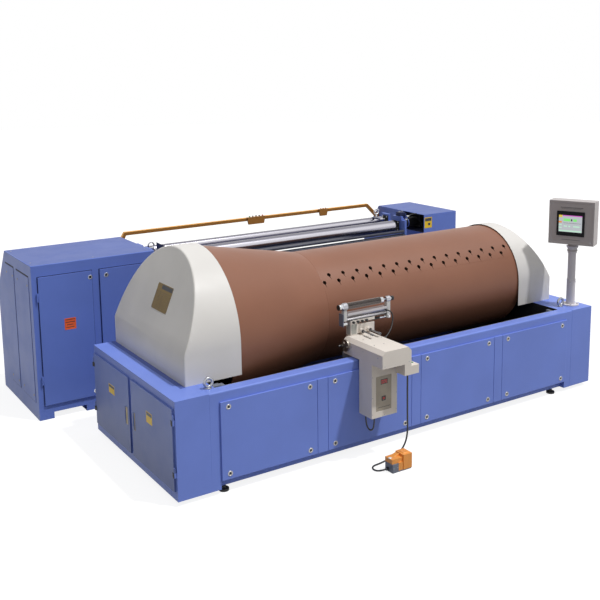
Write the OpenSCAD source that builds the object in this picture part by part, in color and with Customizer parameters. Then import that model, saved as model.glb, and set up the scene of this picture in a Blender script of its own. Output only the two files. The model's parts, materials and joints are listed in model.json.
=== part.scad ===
// Sectional warping machine: a drum unit with a travelling reed carriage,
// and a beaming section behind it. Millimetres, +Z up, floor at z = 0.
// The origin is the middle of the sole of the front left levelling foot.

/* [Drum unit] */
// Length of the drum unit
unit_l = 4500; // [4300:50:4700]
// Depth of the drum unit
unit_w = 1650; // [1600:10:1700]
// Height of its casing
unit_h = 775; // [750:5:800]
// Gap between the floor and the casing, filled by the feet
foot_h = 40; // [30:1:60]
// Diameter of a levelling foot
foot_d = 80; // [60:2:100]
// Distance between the feet along the unit
foot_pitch = 3605; // [3400:5:3800]
// Distance of the feet from the unit's left face
foot_in_x = 410; // [380:5:440]
// Distance of the feet from the unit's front and back
foot_in_y = 60; // [56:1:90]
// Length of each end block
end_l = 280; // [260:5:300]
// Width of the cross members that carry the drum
cross_w = 95; // [80:1:110]
// Width of the flange round the well
rim_w = 100; // [80:1:110]
// Radius of the rim's outer edge
rim_r = 14; // [6:1:20]
// Thickness of the casing sheet
sheet = 4; // [3:0.5:6]

/* [Covers and doors] */
// How far doors and covers stand proud
cover_t = 15; // [10:1:20]
// Height of their lower edge above the casing's foot
cover_low = 72; // [60:2:90]
// Height of the front covers' upper edge
cover_high = 695; // [650:5:700]
// Height of the end doors' upper edge
door_high = 712; // [680:2:730]
// Number of front covers
cover_n = 4; // [3:1:5]
// Width of the strip between two front covers
strip_w = 105; // [80:5:130]
// Distance from the unit's end to the first front cover
cover_in = 362; // [340:2:390]
// Gap round a cover or a door
seam = 3; // [1:0.5:5]
// Diameter of a quarter turn lock
lock_d = 43; // [30:1:50]
// Distance of a lock from its cover's side
lock_in_x = 68; // [50:2:90]
// Distance of a lock from its cover's top and bottom
lock_in_z = 46; // [36:2:60]
// Distance of the end doors from the unit's front and back
door_in = 27; // [25:1:40]
// Gap between the two end doors
door_gap = 50; // [40:2:70]
// Radius of a hinge knuckle
knuckle_r = 8; // [6:0.5:9]
// Radius of a hinge pin
pin_r = 4; // [2.5:0.5:5]

/* [Drum] */
// Diameter of the drum's cylinder
drum_d = 1000; // [960:10:1040]
// Distance of the drum's axis from the unit's front
drum_in = 934; // [920:2:950]
// Height of the drum's axis above the rim
drum_rise = 232; // [220:2:250]
// Distance from the unit's left face to the foot of the cone
cone_foot = 1660; // [1600:10:1700]
// Length of the cone
cone_l = 1020; // [980:10:1040]
// How much the cone's radius grows over its length
cone_rise = 189; // [160:1:190]
// Distance of the drum's right end from the unit's right face
drum_end_in = 542; // [530:2:560]
// Thickness of the drum's shell
shell_t = 6; // [4:0.5:8]
// Diameter of a section pin hole
hole_d = 18; // [12:1:24]
// Distance between the holes of a row
hole_pitch = 150; // [140:5:154]
// Diameter of the drum's shaft
shaft_d = 80; // [60:2:90]

/* [Shrouds] */
// Thickness of the shrouds' sheet
shroud_t = 3; // [2:0.5:5]
// Radius of the left shroud
left_r = 700; // [698:1:710]
// Radius of the right shroud
right_r = 512; // [508:1:530]
// Distance of the left shroud's end from the unit's left face
left_in = 195; // [180:5:205]
// Length of the left shroud
left_shroud_l = 490; // [480:5:520]
// Distance of the right shroud's end from the unit's right face
right_in = 135; // [120:5:150]
// Length of the right shroud
right_shroud_l = 447; // [440:1:470]
// How far the top of a shroud leans over its length
lean = 288; // [250:2:300]

/* [Drum drive] */
// Diameter of the pulley on the drum's shaft
pulley_d = 400; // [360:5:420]
// Diameter of the motor's pulley
motor_pulley_d = 180; // [160:2:200]
// Height of the motor's shaft above the casing's foot
motor_rise = 300; // [280:5:320]
// Diameter of the motor's shaft
motor_shaft_d = 38; // [28:1:42]
// Diameter of the motor
motor_d = 250; // [220:5:260]
// Width of the belt
belt_w = 40; // [30:1:60]
// Thickness of the belt
belt_t = 8; // [5:0.5:10]

/* [Carriage] */
// Distance from the unit's left face to the carriage's middle
carriage_x = 1783; // [1700:1:1900]
// Width of the arm
arm_w = 294; // [280:2:310]
// How far the arm reaches in front of the unit
arm_out = 330; // [320:2:350]
// How far the arm reaches behind the unit's front
arm_in = 200; // [196:1:204]
// Height of the arm
arm_h = 141; // [130:1:150]
// Gap between the rim and the arm
arm_gap = 8; // [5:1:12]
// Chamfer along the arm's upper edges
arm_edge = 32; // [20:1:40]
// Thickness of the carriage's covers
skin = 3; // [2:0.5:4]
// Width of the drive housing
housing_w = 260; // [250:2:270]
// Depth of the drive housing
housing_d = 170; // [160:2:180]
// Height of the drive housing
housing_h = 458; // [430:2:470]
// Distance of the drive housing from the unit's front
housing_out = 20; // [18:1:30]
// Diameter of the lead screw
screw_d = 20; // [16:1:24]

/* [Reed head] */
// Diameter of the measuring roller
roller_d = 56; // [48:1:60]
// Length of the measuring roller
roller_l = 348; // [320:2:360]
// Height of the measuring roller's axis above the arm
roller_rise = 252; // [245:1:265]
// Diameter of the hand wheel
wheel_d = 100; // [80:2:110]

/* [Operator panel] */
// Distance from the unit's right face to the post
post_in_x = 130; // [100:5:150]
// Distance from the unit's front to the post
post_in_y = 157; // [140:2:180]
// Diameter of the post
post_d = 76; // [60:2:90]
// Height of the post
post_h = 595; // [500:5:700]
// Width of the control box
box_w = 440; // [400:5:480]
// Height of the control box
box_h = 430; // [400:5:460]
// Depth of the control box
box_d = 150; // [120:5:180]
// Angle that the control box is turned to the operator
box_turn = 65; // [30:5:90]
// Gap between the post's head and the control box
box_gap = 23; // [15:1:30]

/* [Beaming section] */
// Distance from the unit's front to the cabinets' front
rear_y = 2220; // [2210:5:2300]
// Depth of the cabinets at their top
rear_d = 860; // [820:10:900]
// Height of the cabinets above the casing's foot
rear_h = 1415; // [1380:5:1440]
// How far the cabinets' backs slope out
slope_out = 300; // [250:5:320]
// Height of the foot of that slope
slope_low = 1000; // [950:10:1050]
// Distance of the left cabinet's end from the unit's left face
left_cab_x = 345; // [320:5:370]
// Length of the left cabinet
left_cab_l = 1190; // [1180:5:1220]
// How far the right cabinet reaches in past the unit's right face
right_cab_in = 273; // [250:5:300]
// Length of the right cabinet
right_cab_l = 494; // [460:5:520]
// Width of a cabinet door
cab_door_w = 501; // [490:1:510]
// Upper edge of the cabinet doors
cab_door_high = 1303; // [1280:2:1320]
// Lower edge of the cabinet doors
cab_door_low = 98; // [90:2:110]
// Distance of the press roller's axis behind the cabinets' front
press_in = 260; // [250:2:280]
// Depth of that axis below the cabinets' top
press_low = 140; // [130:2:150]
// Distance of the guide roller's axis behind the cabinets' front
guide_in = 480; // [460:2:500]
// Depth of that axis below the cabinets' top
guide_low = 100; // [90:2:110]
// Distance of the cross beam behind the cabinets' front
beam_in = 120; // [110:5:130]
// Depth of the cross beam's underside below the cabinets' top
beam_low = 355; // [345:5:365]
// Height of the cross beam
beam_h = 90; // [80:5:100]
// Distance of the button bar behind the cabinets' top
bar_back = 30; // [25:1:40]
// Height of the button bar's middle above the cabinets' top
bar_up = 19; // [19:1:40]
// Distance of the first button box from the bar's right end
box1_in = 1754; // [1700:5:1800]
// Distance of the second button box from the bar's right end
box2_in = 833; // [800:5:860]
// Diameter of the press roller
press_d = 130; // [110:5:140]
// Diameter of the guide roller
guide_d = 90; // [70:2:100]
// Side of the button bar's square tube
bar_w = 38; // [30:1:45]

/* [Foot switch] */
// Width of the foot switch
switch_w = 190; // [180:2:200]
// Depth of the foot switch
switch_d = 100; // [90:2:110]
// Height of its hood
hood_h = 134; // [125:1:145]
// Diameter of its cord
cord_d = 14; // [8:1:14]
// Diameter of the carriage's two thin cables
cable_d = 12; // [8:1:12]

/* [Hidden] */
$fn = 64;

// Running clearance of a journal, gap between parts that slide or seat loosely,
// and how far a cutter runs past the face it opens.
run = 0.05;
seat = 0.3;
past = 2;

// The drum unit's faces.
x0 = -foot_in_x;
x1 = x0 + unit_l;
y0 = -foot_in_y;
y1 = y0 + unit_w;
z0 = foot_h;
z1 = z0 + unit_h;
well_x0 = x0 + end_l;
well_x1 = x1 - end_l;
mid_x = (x0 + x1) / 2;
plinth_in = 56;
rear_rim_w = plinth_in + sheet;

// Front covers share the front between the two ends.
cover_x0 = x0 + cover_in;
cover_pitch = (unit_l - 2 * cover_in + strip_w) / cover_n;
cover_w = cover_pitch - strip_w;
end_door_w = (unit_w - 2 * door_in - door_gap) / 2;
hinge_out = 12;
hinge_off = 11;
knuckle_l = 40;
end_hinge_z = [z0 + 187, z0 + 590];
door_skin = 2;
door_lap = 20;

// Drum axis, cone and shaft.
drum_y = y0 + drum_in;
drum_z = z1 + drum_rise;
drum_r = drum_d / 2;
cone_x1 = x0 + cone_foot;
cone_x0 = cone_x1 - cone_l;
drum_x1 = x1 - drum_end_in;
cone_slope = cone_rise / cone_l;
shaft_x0 = x0 + left_in + 30;
shaft_x1 = x1 - right_in - 125;
left_bearing_x = well_x0 + cross_w / 2;
right_bearing_x = well_x1 - cross_w / 2;
motor_z = z0 + motor_rise;
pulley_x0 = well_x0 + cross_w + 25;
pulley_w = belt_w + 5;

// Carriage: rails on a shelf inside the front wall, arm over the rim.
rail_w = 20;
rail_h = 18;
rail_y = [y0 + 130, y0 + 210];
shelf_z = z1 - 85;
shelf_t = 10;
shelf_x0 = well_x0 + cross_w + 5;
shelf_x1 = well_x1 - cross_w - 5;
screw_y = (rail_y[0] + rail_y[1]) / 2;
screw_z = shelf_z + shelf_t + 38;
car_x = x0 + carriage_x;
arm_x0 = car_x - 147;
arm_x1 = arm_x0 + arm_w;
arm_y0 = y0 - arm_out;
arm_y1 = y0 + arm_in;
arm_z0 = z1 + arm_gap;
arm_z1 = arm_z0 + arm_h;
slot_z = arm_z1 - arm_edge - 7;
house_x0 = arm_x0;
house_x1 = house_x0 + housing_w;
house_y1 = y0 - housing_out;
house_y0 = house_y1 - housing_d;
house_z0 = arm_z0 - housing_h;
window_in = 43;
window_low = 52;
window_h = 295;
window_t = 3;
rocker_w = 24;
rocker_at = [(house_x0 + house_x1) / 2 - 8, house_y0, house_z0 + 155];
sbox_x0 = arm_x1 - 68;
sbox_x1 = arm_x1 + 80;
sbox_y0 = arm_y0;
sbox_y1 = arm_y0 + 113;
sbox_z0 = arm_z0 - 97;
sbox_z1 = arm_z0 - 23;
button_d = 16;
button_at = [sbox_x1 - 30, (sbox_y0 + sbox_y1) / 2, sbox_z1];
gland_at = [arm_x1 + 5, arm_y0 + 55, sbox_z0];
gland_l = 18;

// Reed head, on the arm's top.
head_y = y0 + 200;
head_z0 = arm_z1 + seat;
roll_y = y0 + 200;
roll_z = arm_z1 + roller_rise;
roll_x0 = car_x - 116;
roll_x1 = roll_x0 + roller_l;
journal_d = 16;
reed_z0 = roll_z - 124;
reed_z1 = roll_z - 57;
arm_l_x0 = roll_x0 - 43 - seat;
arm_r_x0 = roll_x1 + 62;
clamp_x = [car_x + 15, car_x + 92];
clamp_d = 14;
clamp_l = 190;
wheel_at = [arm_x0 - 16, y0 + 148, arm_z1 - 62];
wheel_shaft_d = 16;

// Operator panel.
post_at = [x1 - post_in_x, y0 + post_in_y, z1];
box_z0 = z1 + post_h + box_gap;
swivel_d = 60;
bezel_w = 0.61 * box_w;
bezel_h = 0.56 * box_h;
bezel_x = -0.015 * box_w;
bezel_z = 0.2 * box_h;

// Beaming section.
cab_y0 = y0 + rear_y;
cab_y1 = cab_y0 + rear_d;
cab_y2 = cab_y1 + slope_out;
cab_z1 = z0 + rear_h;
cab_x0 = x0 - left_cab_x;
cab_x1 = cab_x0 + left_cab_l;
rcab_x0 = x1 - right_cab_in;
rcab_x1 = rcab_x0 + right_cab_l;
cab_sheet = 4;
cab_door_x = [cab_x0 + 56, cab_x1 - 55 - cab_door_w];
cab_hinge_z = [z0 + 300, z0 + 1080];
press_y = cab_y0 + press_in;
press_z = cab_z1 - press_low;
guide_y = cab_y0 + guide_in;
guide_z = cab_z1 - guide_low;
press_x0 = cab_x1 + 115;
press_x1 = rcab_x0 - 257;
bracket_x0 = cab_x1 + 40;
bracket_x1 = rcab_x0 - 190;
bracket_t = 30;
recess_y1 = cab_y0 + 380;
recess_z0 = cab_z1 - 215;
recess_l = 300;
bar_y = cab_y1 + bar_back;
bar_z = cab_z1 + bar_up;
bar_x0 = cab_x1 + 16;
bar_x1 = rcab_x0;
push_d = 20;
box1_x = bar_x1 - box1_in;
box2_x = bar_x1 - box2_in;
push_pitch = 42;
push_y = bar_y - bar_w / 2 - 11;

// Foot switch on the floor, and the route of its cord.
foot_x0 = car_x - 143;
foot_y0 = y0 - 460;
foot_base_h = 74;
fgland = [foot_x0, foot_y0 + 62, 22];
fgland_l = 22;
cord_route = [
    [1525, -335, 708], [1525, -335, 640], [1525, -335, 560], [1526, -335, 470],
    [1528, -334, 380], [1531, -332, 300], [1533, -329, 220], [1527, -323, 152],
    [1506, -317, 95], [1470, -311, 50], [1424, -307, 22], [1370, -307, 11],
    [1312, -313, 9], [1256, -324, 9], [1204, -330, 9], [1175, -338, 9],
    [1153, -358, 9], [1142, -386, 9.5], [1146, -416, 11], [1162, -440, 15],
    [1184, -453, 19.5], [1206.2, -457.7, 21.8]
];
loop_route = [
    [1238, -155, 365], [1238, -155, 335], [1239, -161, 300], [1241, -172, 272],
    [1245, -186, 256], [1249, -200, 252], [1253, -214, 257], [1256, -227, 273],
    [1257, -236, 300], [1258, -240, 335], [1258, -240, 365]
];
head_route = [
    [1658, 124.8, 1128], [1658, 108, 1128], [1668, 90, 1125], [1682, 79, 1113],
    [1690, 72, 1090], [1690, 66, 1062], [1680, 58, 1034], [1664, 46, 1008],
    [1640, 32, 982], [1612, 20, 960], [1582, 10, 941], [1550, 3, 925],
    [1528, 0, 916], [1508, 0, 914]
];

// A box between two opposite corners.
module block(low, high) {
    translate(low) cube(high - low);
}

module rod_x(at, d, l) {
    translate(at) rotate([0, 90, 0]) cylinder(d = d, h = l);
}

module rod_y(at, d, l) {
    translate(at) rotate([-90, 0, 0]) cylinder(d = d, h = l);
}

module rod_z(at, d, l) {
    translate(at) cylinder(d = d, h = l);
}

// Extrudes a y-z outline along x.
module extrude_x(from, to) {
    translate([from, 0, 0]) rotate([90, 0, 90]) linear_extrude(to - from) children();
}

// Extrudes an x-z outline along y.
module extrude_y(from, to) {
    translate([0, to, 0]) rotate([90, 0, 0]) linear_extrude(to - from) children();
}

// A closed sheet metal box.
module casing(low, high, t) {
    difference() {
        block(low, high);
        block(low + [t, t, t], high - [t, t, t]);
    }
}

// One fixed hinge knuckle with its pin, on a face that looks along -x.
// side is +1 where the door lies towards +y of the pin.
module fixed_hinge(at) {
    translate(at) {
        cylinder(r = knuckle_r, h = knuckle_l);
        cylinder(r = pin_r, h = 2 * knuckle_l);
        translate([0, -knuckle_r, 0]) cube([hinge_out, 2 * knuckle_r, knuckle_l]);
    }
}

// A folded door pan with its hinge knuckles, on a face that looks along -x.
// The pin is the origin and the door lies towards +y.
module hinged_door(width, height, hinge_at) {
    difference() {
        union() {
            translate([hinge_out - cover_t, hinge_off, 0]) cube([cover_t - seat, width, height]);
            for (z = hinge_at) {
                translate([0, 0, z + knuckle_l + seat]) cylinder(r = knuckle_r, h = knuckle_l);
                translate([-door_skin, 0, z + knuckle_l + seat])
                    cube([2 * door_skin, hinge_off + door_skin, knuckle_l]);
            }
        }
        translate([hinge_out - cover_t + door_skin, hinge_off + door_skin, door_skin])
            cube([cover_t, width - 2 * door_skin, height - 2 * door_skin]);
        for (z = hinge_at) {
            translate([0, 0, z]) cylinder(r = pin_r + run, h = 2 * knuckle_l + past);
        }
    }
}

// Where the pin of each end door stands, and how high its hinges lie on the door.
function end_pin(back) = [x0 - hinge_out, back ? y1 - door_in + hinge_off : y0 + door_in - hinge_off, 0];
end_hinge_at = [for (z = end_hinge_z) z - z0 - cover_low];
cab_hinge_at = [for (z = cab_hinge_z) z - z0 - cab_door_low];

// ---- drum unit casing ----

module left_end_block() color([0.36, 0.42, 0.72]) {
    difference() {
        casing([x0, y0, z0], [well_x0, y1, z1], sheet);
        for (y = [y0 + door_in, y1 - door_in - end_door_w]) {
            block([x0 - past, y + door_lap, z0 + cover_low + door_lap],
                  [x0 + sheet + past, y + end_door_w - door_lap, z0 + door_high - door_lap]);
        }
        rod_x([well_x0 - sheet - past, drum_y, motor_z], motor_shaft_d + 22, sheet + 2 * past);
    }
    for (back = [false, true]) {
        for (z = end_hinge_z) {
            translate([0, 0, z]) fixed_hinge(end_pin(back));
        }
    }
}

module right_end_block() color([0.36, 0.42, 0.72]) {
    casing([well_x1, y0, z0], [x1, y1, z1], sheet);
}

// The rim's section: a flange with a rounded outer edge and a turned down lip.
module rim_section(rim, t) {
    difference() {
        union() {
            translate([t, 0]) square([rim - 2 * t, unit_h - t]);
            translate([t, 0]) square([rim_r, unit_h - rim_r]);
            translate([rim_r, unit_h - rim_r]) circle(rim_r - t);
        }
        translate([-past, unit_h - rim_r]) square([rim_r + past, rim_r + past]);
    }
    intersection() {
        translate([rim_r, unit_h - rim_r]) circle(rim_r - t);
        translate([0, unit_h - rim_r]) square(rim_r);
    }
}

// One long wall of the unit, seen with its outer face towards -y at y = 0.
module long_wall(rim) {
    foot_w = 84;
    difference() {
        extrude_x(well_x0, well_x1) rim_section(rim, 0);
        extrude_x(well_x0 - past, well_x1 + past) rim_section(rim, sheet);
        block([well_x0 - past, rim - sheet - past, -past],
              [well_x1 + past, rim + past, unit_h - 40]);
        block([well_x0 - past, -past, -past], [well_x1 + past, rim + past, cover_low]);
    }
    block([cover_x0, 0, cover_low], [-cover_x0 + 2 * mid_x, plinth_in, cover_low + sheet]);
    block([well_x0, plinth_in, 0], [well_x1, plinth_in + sheet, cover_low + sheet]);
    block([well_x0, plinth_in, 0], [well_x1, plinth_in + foot_w, sheet]);
    for (x = [well_x0, 2 * mid_x - cover_x0]) {
        difference() {
            block([x, 0, 0], [x + cover_x0 - well_x0, plinth_in + sheet, cover_low + sheet]);
            block([x + sheet, sheet, sheet],
                  [x + cover_x0 - well_x0 - sheet, plinth_in, cover_low + sheet + past]);
        }
    }
}

module front_wall() color([0.36, 0.42, 0.72]) {
    translate([0, y0, z0]) {
        long_wall(rim_w);
        for (i = [1:cover_n - 1]) {
            x = cover_x0 + i * cover_pitch;
            block([x - strip_w + seam, -cover_t, cover_low], [x - seam, 0, cover_high]);
        }
    }
}

module rear_wall() color([0.36, 0.42, 0.72]) {
    translate([0, y1, z0]) mirror([0, 1, 0]) long_wall(rear_rim_w);
}

module frame_pan() color([0.3, 0.36, 0.62]) {
    pan_z = 20;
    block([well_x0 + cross_w + seat, y0 + plinth_in + sheet, z0 + pan_z],
          [well_x1 - cross_w - seat, y1 - plinth_in - sheet, z0 + pan_z + sheet]);
    for (x = [well_x0, well_x1 - cross_w]) {
        difference() {
            casing([x, y0 + rim_w, z0 + pan_z], [x + cross_w, y1 - rear_rim_w, z1], sheet + 1);
            if (x < mid_x) {
                rod_x([x - past, drum_y, motor_z], motor_shaft_d + 22, cross_w + 2 * past);
            }
        }
    }
}

module cover_panels() color([0.38, 0.45, 0.74]) {
    for (i = [0:cover_n - 1]) {
        x = cover_x0 + i * cover_pitch;
        block([x, y0 - cover_t, z0 + cover_low], [x + cover_w, y0, z0 + cover_high]);
    }
    for (y = [y0 + door_in, y1 - door_in - end_door_w]) {
        block([x1, y, z0 + cover_low], [x1 + cover_t, y + end_door_w, z0 + door_high]);
    }
}

// A quarter turn lock: a bright ring round a sunken key slot, facing -y.
module lock(at) {
    translate(at) rotate([90, 0, 0]) difference() {
        cylinder(d1 = lock_d, d2 = lock_d - 4, h = 3);
        translate([0, 0, 1]) cylinder(d = lock_d - 29, h = 3);
    }
}

module panel_locks() color([0.8, 0.8, 0.8]) {
    for (i = [0:cover_n - 1]) {
        for (dx = [lock_in_x, cover_w - lock_in_x]) {
            for (z = [cover_low + lock_in_z, cover_high - lock_in_z]) {
                lock([cover_x0 + i * cover_pitch + dx, y0 - cover_t, z0 + z]);
            }
        }
    }
}

module levelling_feet() color([0.05, 0.05, 0.05]) {
    for (x = [0, foot_pitch]) {
        for (y = [0, unit_w - 2 * foot_in_y]) {
            rod_z([x, y, 0], foot_d, foot_h / 2);
            rod_z([x, y, foot_h / 2], foot_d * 0.4, foot_h / 2);
        }
    }
}

// ---- shrouds ----

// The arch of a shroud: a half round on straight sides, r from the drum's axis.
module arch(r) {
    translate([drum_y, drum_z]) circle(r);
    translate([drum_y - r, z1 - past]) square([2 * r, drum_rise + past]);
}

// A shroud that opens towards +x at x = l and leans over from x = 0.
module shroud(r, l) {
    t = shroud_t;
    lean_t = t * sqrt(1 + pow(lean / r, 2));
    difference() {
        intersection() {
            extrude_x(0, l) arch(r);
            extrude_y(drum_y - r - past, drum_y + r + past)
                polygon([[0, z1], [l, z1], [l, drum_z + r + past],
                         [lean * (r + past) / r, drum_z + r + past], [0, drum_z]]);
        }
        intersection() {
            extrude_x(0, l + past) arch(r - t);
            extrude_y(drum_y - r, drum_y + r)
                polygon([[t, z1 - past], [l + past, z1 - past], [l + past, drum_z + r],
                         [lean + lean_t, drum_z + r], [lean_t, drum_z], [t, drum_z - t]]);
        }
    }
}

module left_shroud() color([0.84, 0.83, 0.81]) {
    translate([x0 + left_in, 0, 0]) shroud(left_r, left_shroud_l);
}

module right_shroud() color([0.84, 0.83, 0.81]) {
    translate([x1 - right_in, 0, 0]) mirror([1, 0, 0]) shroud(right_r, right_shroud_l);
}

// ---- lifting eyes and post ----

module eye_bolts() color([0.75, 0.75, 0.75]) {
    ring_r = 33;
    bar_r = 11;
    for (at = [[well_x0 + 50, y0 + 110], [well_x1 + 15, y0 + 165],
               [well_x0 + 50, y1 - 110], [well_x1 + 15, y1 - 165]]) {
        translate([at[0], at[1], z1]) {
            cylinder(d = 50, h = 8);
            cylinder(d = 30, h = 16);
            translate([0, 0, ring_r + bar_r + 4]) rotate([90, 0, 0])
                rotate_extrude() translate([ring_r, 0]) circle(bar_r);
        }
    }
}

module panel_post() color([0.6, 0.59, 0.6]) {
    joint_h = 256;
    head_h = 70;
    translate(post_at) difference() {
        union() {
            cylinder(d = post_d + 90, h = 12);
            for (a = [45:90:315]) {
                rotate(a) translate([post_d / 2 + 28, 0, 12]) cylinder(d = 20, h = 8, $fn = 6);
            }
            cylinder(d = post_d + 8, h = joint_h);
            cylinder(d = post_d, h = post_h);
            translate([0, 0, post_h - head_h]) cylinder(d = post_d + 12, h = head_h - 30);
            translate([0, 0, post_h - 30]) cylinder(d1 = post_d + 12, d2 = post_d + 44, h = 30);
        }
        translate([0, 0, post_h - head_h]) cylinder(d = swivel_d + 2 * run, h = head_h + past);
    }
}

// ---- drum drive ----

module drum_bearings() color([0.25, 0.3, 0.5]) {
    half = 35;
    for (x = [left_bearing_x, right_bearing_x]) {
        difference() {
            union() {
                block([x - half, drum_y - 150, z1], [x + half, drum_y + 150, z1 + 30]);
                block([x - half, drum_y - 65, z1], [x + half, drum_y + 65, drum_z]);
                rod_x([x - half, drum_y, drum_z], shaft_d + 70, 2 * half);
            }
            rod_x([x - half - past, drum_y, drum_z], shaft_d + 2 * run, 2 * (half + past));
        }
    }
}

module drum_motor() color([0.3, 0.32, 0.36]) {
    flange_x = well_x0 - sheet - 20;
    body_x = x0 + 60;
    difference() {
        union() {
            block([flange_x, drum_y - 150, motor_z - 150], [flange_x + 20, drum_y + 150, motor_z + 150]);
            rod_x([body_x, drum_y, motor_z], motor_d, flange_x - body_x);
            block([body_x + 50, drum_y - 60, motor_z], [body_x + 150, drum_y + 60, motor_z + motor_d / 2 + 40]);
            for (a = [0:20:340]) {
                translate([0, drum_y, motor_z]) rotate([a, 0, 0])
                    block([body_x + 10, -2, motor_d / 2 - 2], [body_x + 140, 2, motor_d / 2 + 9]);
            }
        }
        rod_x([flange_x - 80, drum_y, motor_z], motor_shaft_d + 2 * run, 100 + past);
    }
}

// The loop that a belt makes round the two pulleys, a at the top and b below.
function belt_loop(a, b) = let(
    steps = 40,
    lift = asin((a - b) / (drum_z - motor_z)),
    over = 180 + 2 * lift,
    under = 180 - 2 * lift,
    ra = a / cos(over / (2 * steps)),
    rb = b / cos(under / (2 * steps))
) concat(
    [for (i = [0:steps]) let(t = over * i / steps - lift)
        [drum_y + ra * cos(t), drum_z + ra * sin(t)]],
    [for (i = [0:steps]) let(t = 180 + lift + under * i / steps)
        [drum_y + rb * cos(t), motor_z + rb * sin(t)]]
);

module drive_belt() color([0.08, 0.08, 0.08]) {
    a = pulley_d / 2 + seat;
    b = motor_pulley_d / 2 + seat;
    x = pulley_x0 + (pulley_w - belt_w) / 2;
    difference() {
        extrude_x(x, x + belt_w) polygon(belt_loop(a + belt_t, b + belt_t));
        extrude_x(x - past, x + belt_w + past) polygon(belt_loop(a, b));
    }
}

// A flanged pulley on the x axis, its left face at x = 0.
module pulley(d) {
    lip = (pulley_w - belt_w) / 2 - seat;
    rod_x([0, 0, 0], d, pulley_w);
    for (x = [0, pulley_w - lip]) {
        rod_x([x, 0, 0], d + 2 * belt_t - 4, lip);
    }
}

module drum_pulley() color([0.5, 0.5, 0.52]) {
    web_t = 12;
    rim_t = 20;
    hub_d = shaft_d + 50;
    translate([pulley_x0, drum_y, drum_z]) difference() {
        pulley(pulley_d);
        difference() {
            for (x = [-past, (pulley_w + web_t) / 2]) {
                rod_x([x, 0, 0], pulley_d - 2 * rim_t, (pulley_w - web_t) / 2 + past);
            }
            rod_x([-2 * past, 0, 0], hub_d, pulley_w + 4 * past);
        }
        for (a = [0:60:300]) {
            rotate([a, 0, 0]) rod_x([-past, 0, (pulley_d / 2 - rim_t + hub_d / 2) / 2], 70, pulley_w + 2 * past);
        }
        rod_x([-past, 0, 0], shaft_d + 2 * run, pulley_w + 2 * past);
    }
}

module motor_pulley() color([0.5, 0.5, 0.52]) {
    shaft_from = well_x0 - sheet - 95;
    translate([pulley_x0, drum_y, motor_z]) pulley(motor_pulley_d);
    rod_x([shaft_from, drum_y, motor_z], motor_shaft_d, pulley_x0 + pulley_w - shaft_from + 10);
}

// ---- drum ----

module drum_shell() color([0.5, 0.34, 0.27]) {
    r0 = drum_r + cone_rise;
    t = shell_t;
    lower_deg = 52.7;
    upper_deg = 45;
    first = 20;
    hole_n = floor((drum_x1 - cone_x1 - 2 * first - hole_pitch / 2) / hole_pitch) + 1;
    stave_deg = 22.5;
    seam = 0.4;
    translate([0, drum_y, drum_z]) difference() {
        rotate([0, 90, 0]) rotate_extrude($fn = 180)
            polygon([[r0 - t, cone_x0], [r0, cone_x0], [drum_r, cone_x1], [drum_r, drum_x1],
                     [drum_r - t, drum_x1], [drum_r - t, cone_x1]]);
        for (i = [0:hole_n - 1]) {
            translate([cone_x1 + first + i * hole_pitch, 0, 0]) rotate([lower_deg, 0, 0])
                translate([0, 0, drum_r - 2 * t]) cylinder(d = hole_d, h = 3 * t, $fn = 24);
            translate([cone_x1 + first + (i + 0.5) * hole_pitch, 0, 0]) rotate([upper_deg, 0, 0])
                translate([0, 0, drum_r - 2 * t]) cylinder(d = hole_d, h = 3 * t, $fn = 24);
        }
        for (a = [stave_deg / 2:stave_deg:180]) {
            rotate([a, 0, 0])
                block([cone_x0 - past, -seam / 2, -r0 - past], [drum_x1 + past, seam / 2, r0 + past]);
        }
        block([cone_x1 - seam / 2, -r0, -r0], [cone_x1 + seam / 2, r0, r0]);
    }
}

// A spoked end of the drum: hub, six spokes and a rim that follows the shell.
module spider(x, wide, slope) {
    rim_t = 40;
    r = wide - shell_t - seat;
    translate([x, drum_y, drum_z]) {
        rotate([0, 90, 0]) rotate_extrude($fn = 180)
            polygon([[r - rim_t, 0], [r, 0], [r - 25 * slope, 25], [r - rim_t, 25]]);
        rod_x([0, 0, 0], shaft_d + 120, 25);
        for (a = [0:60:300]) {
            rotate([a, 0, 0]) block([0, -30, shaft_d / 2], [25, 30, r - rim_t / 2]);
        }
    }
}

module drum_core() color([0.42, 0.42, 0.45]) {
    spider(cone_x0 + 12, drum_r + cone_rise - 12 * cone_slope, cone_slope);
    spider(drum_x1 - 40, drum_r, 0);
    rod_x([shaft_x0, drum_y, drum_z], shaft_d, shaft_x1 - shaft_x0);
}

// ---- carriage drive on the frame ----

module carriage_rails() color([0.5, 0.52, 0.56]) {
    rib_pitch = 600;
    block([shelf_x0, y0 + sheet, shelf_z], [shelf_x1, y0 + 240, shelf_z + shelf_t]);
    for (y = rail_y) {
        block([shelf_x0, y - rail_w / 2, shelf_z + shelf_t],
              [shelf_x1, y + rail_w / 2, shelf_z + shelf_t + rail_h]);
    }
    for (x = [shelf_x0 + 60:rib_pitch:shelf_x1 - 60]) {
        extrude_x(x, x + 8)
            polygon([[y0 + sheet, shelf_z - 140], [y0 + sheet, shelf_z], [y0 + 220, shelf_z]]);
    }
}

module screw_drive() color([0.32, 0.34, 0.38]) {
    plate_z = shelf_z + shelf_t;
    motor_x = shelf_x0 + 5;
    half = 28;
    difference() {
        union() {
            block([motor_x, screw_y - half, plate_z], [motor_x + 70, screw_y + half, screw_z + half]);
            block([motor_x + 70, screw_y - half, plate_z], [motor_x + 104, screw_y + half, screw_z + 22]);
            block([shelf_x1 - 50, screw_y - half, plate_z], [shelf_x1 - 20, screw_y + half, screw_z + 22]);
        }
        rod_x([motor_x + 48, screw_y, screw_z], screw_d + 2 * run, 60);
        rod_x([shelf_x1 - 52, screw_y, screw_z], screw_d + 2 * run, 40);
    }
}

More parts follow.
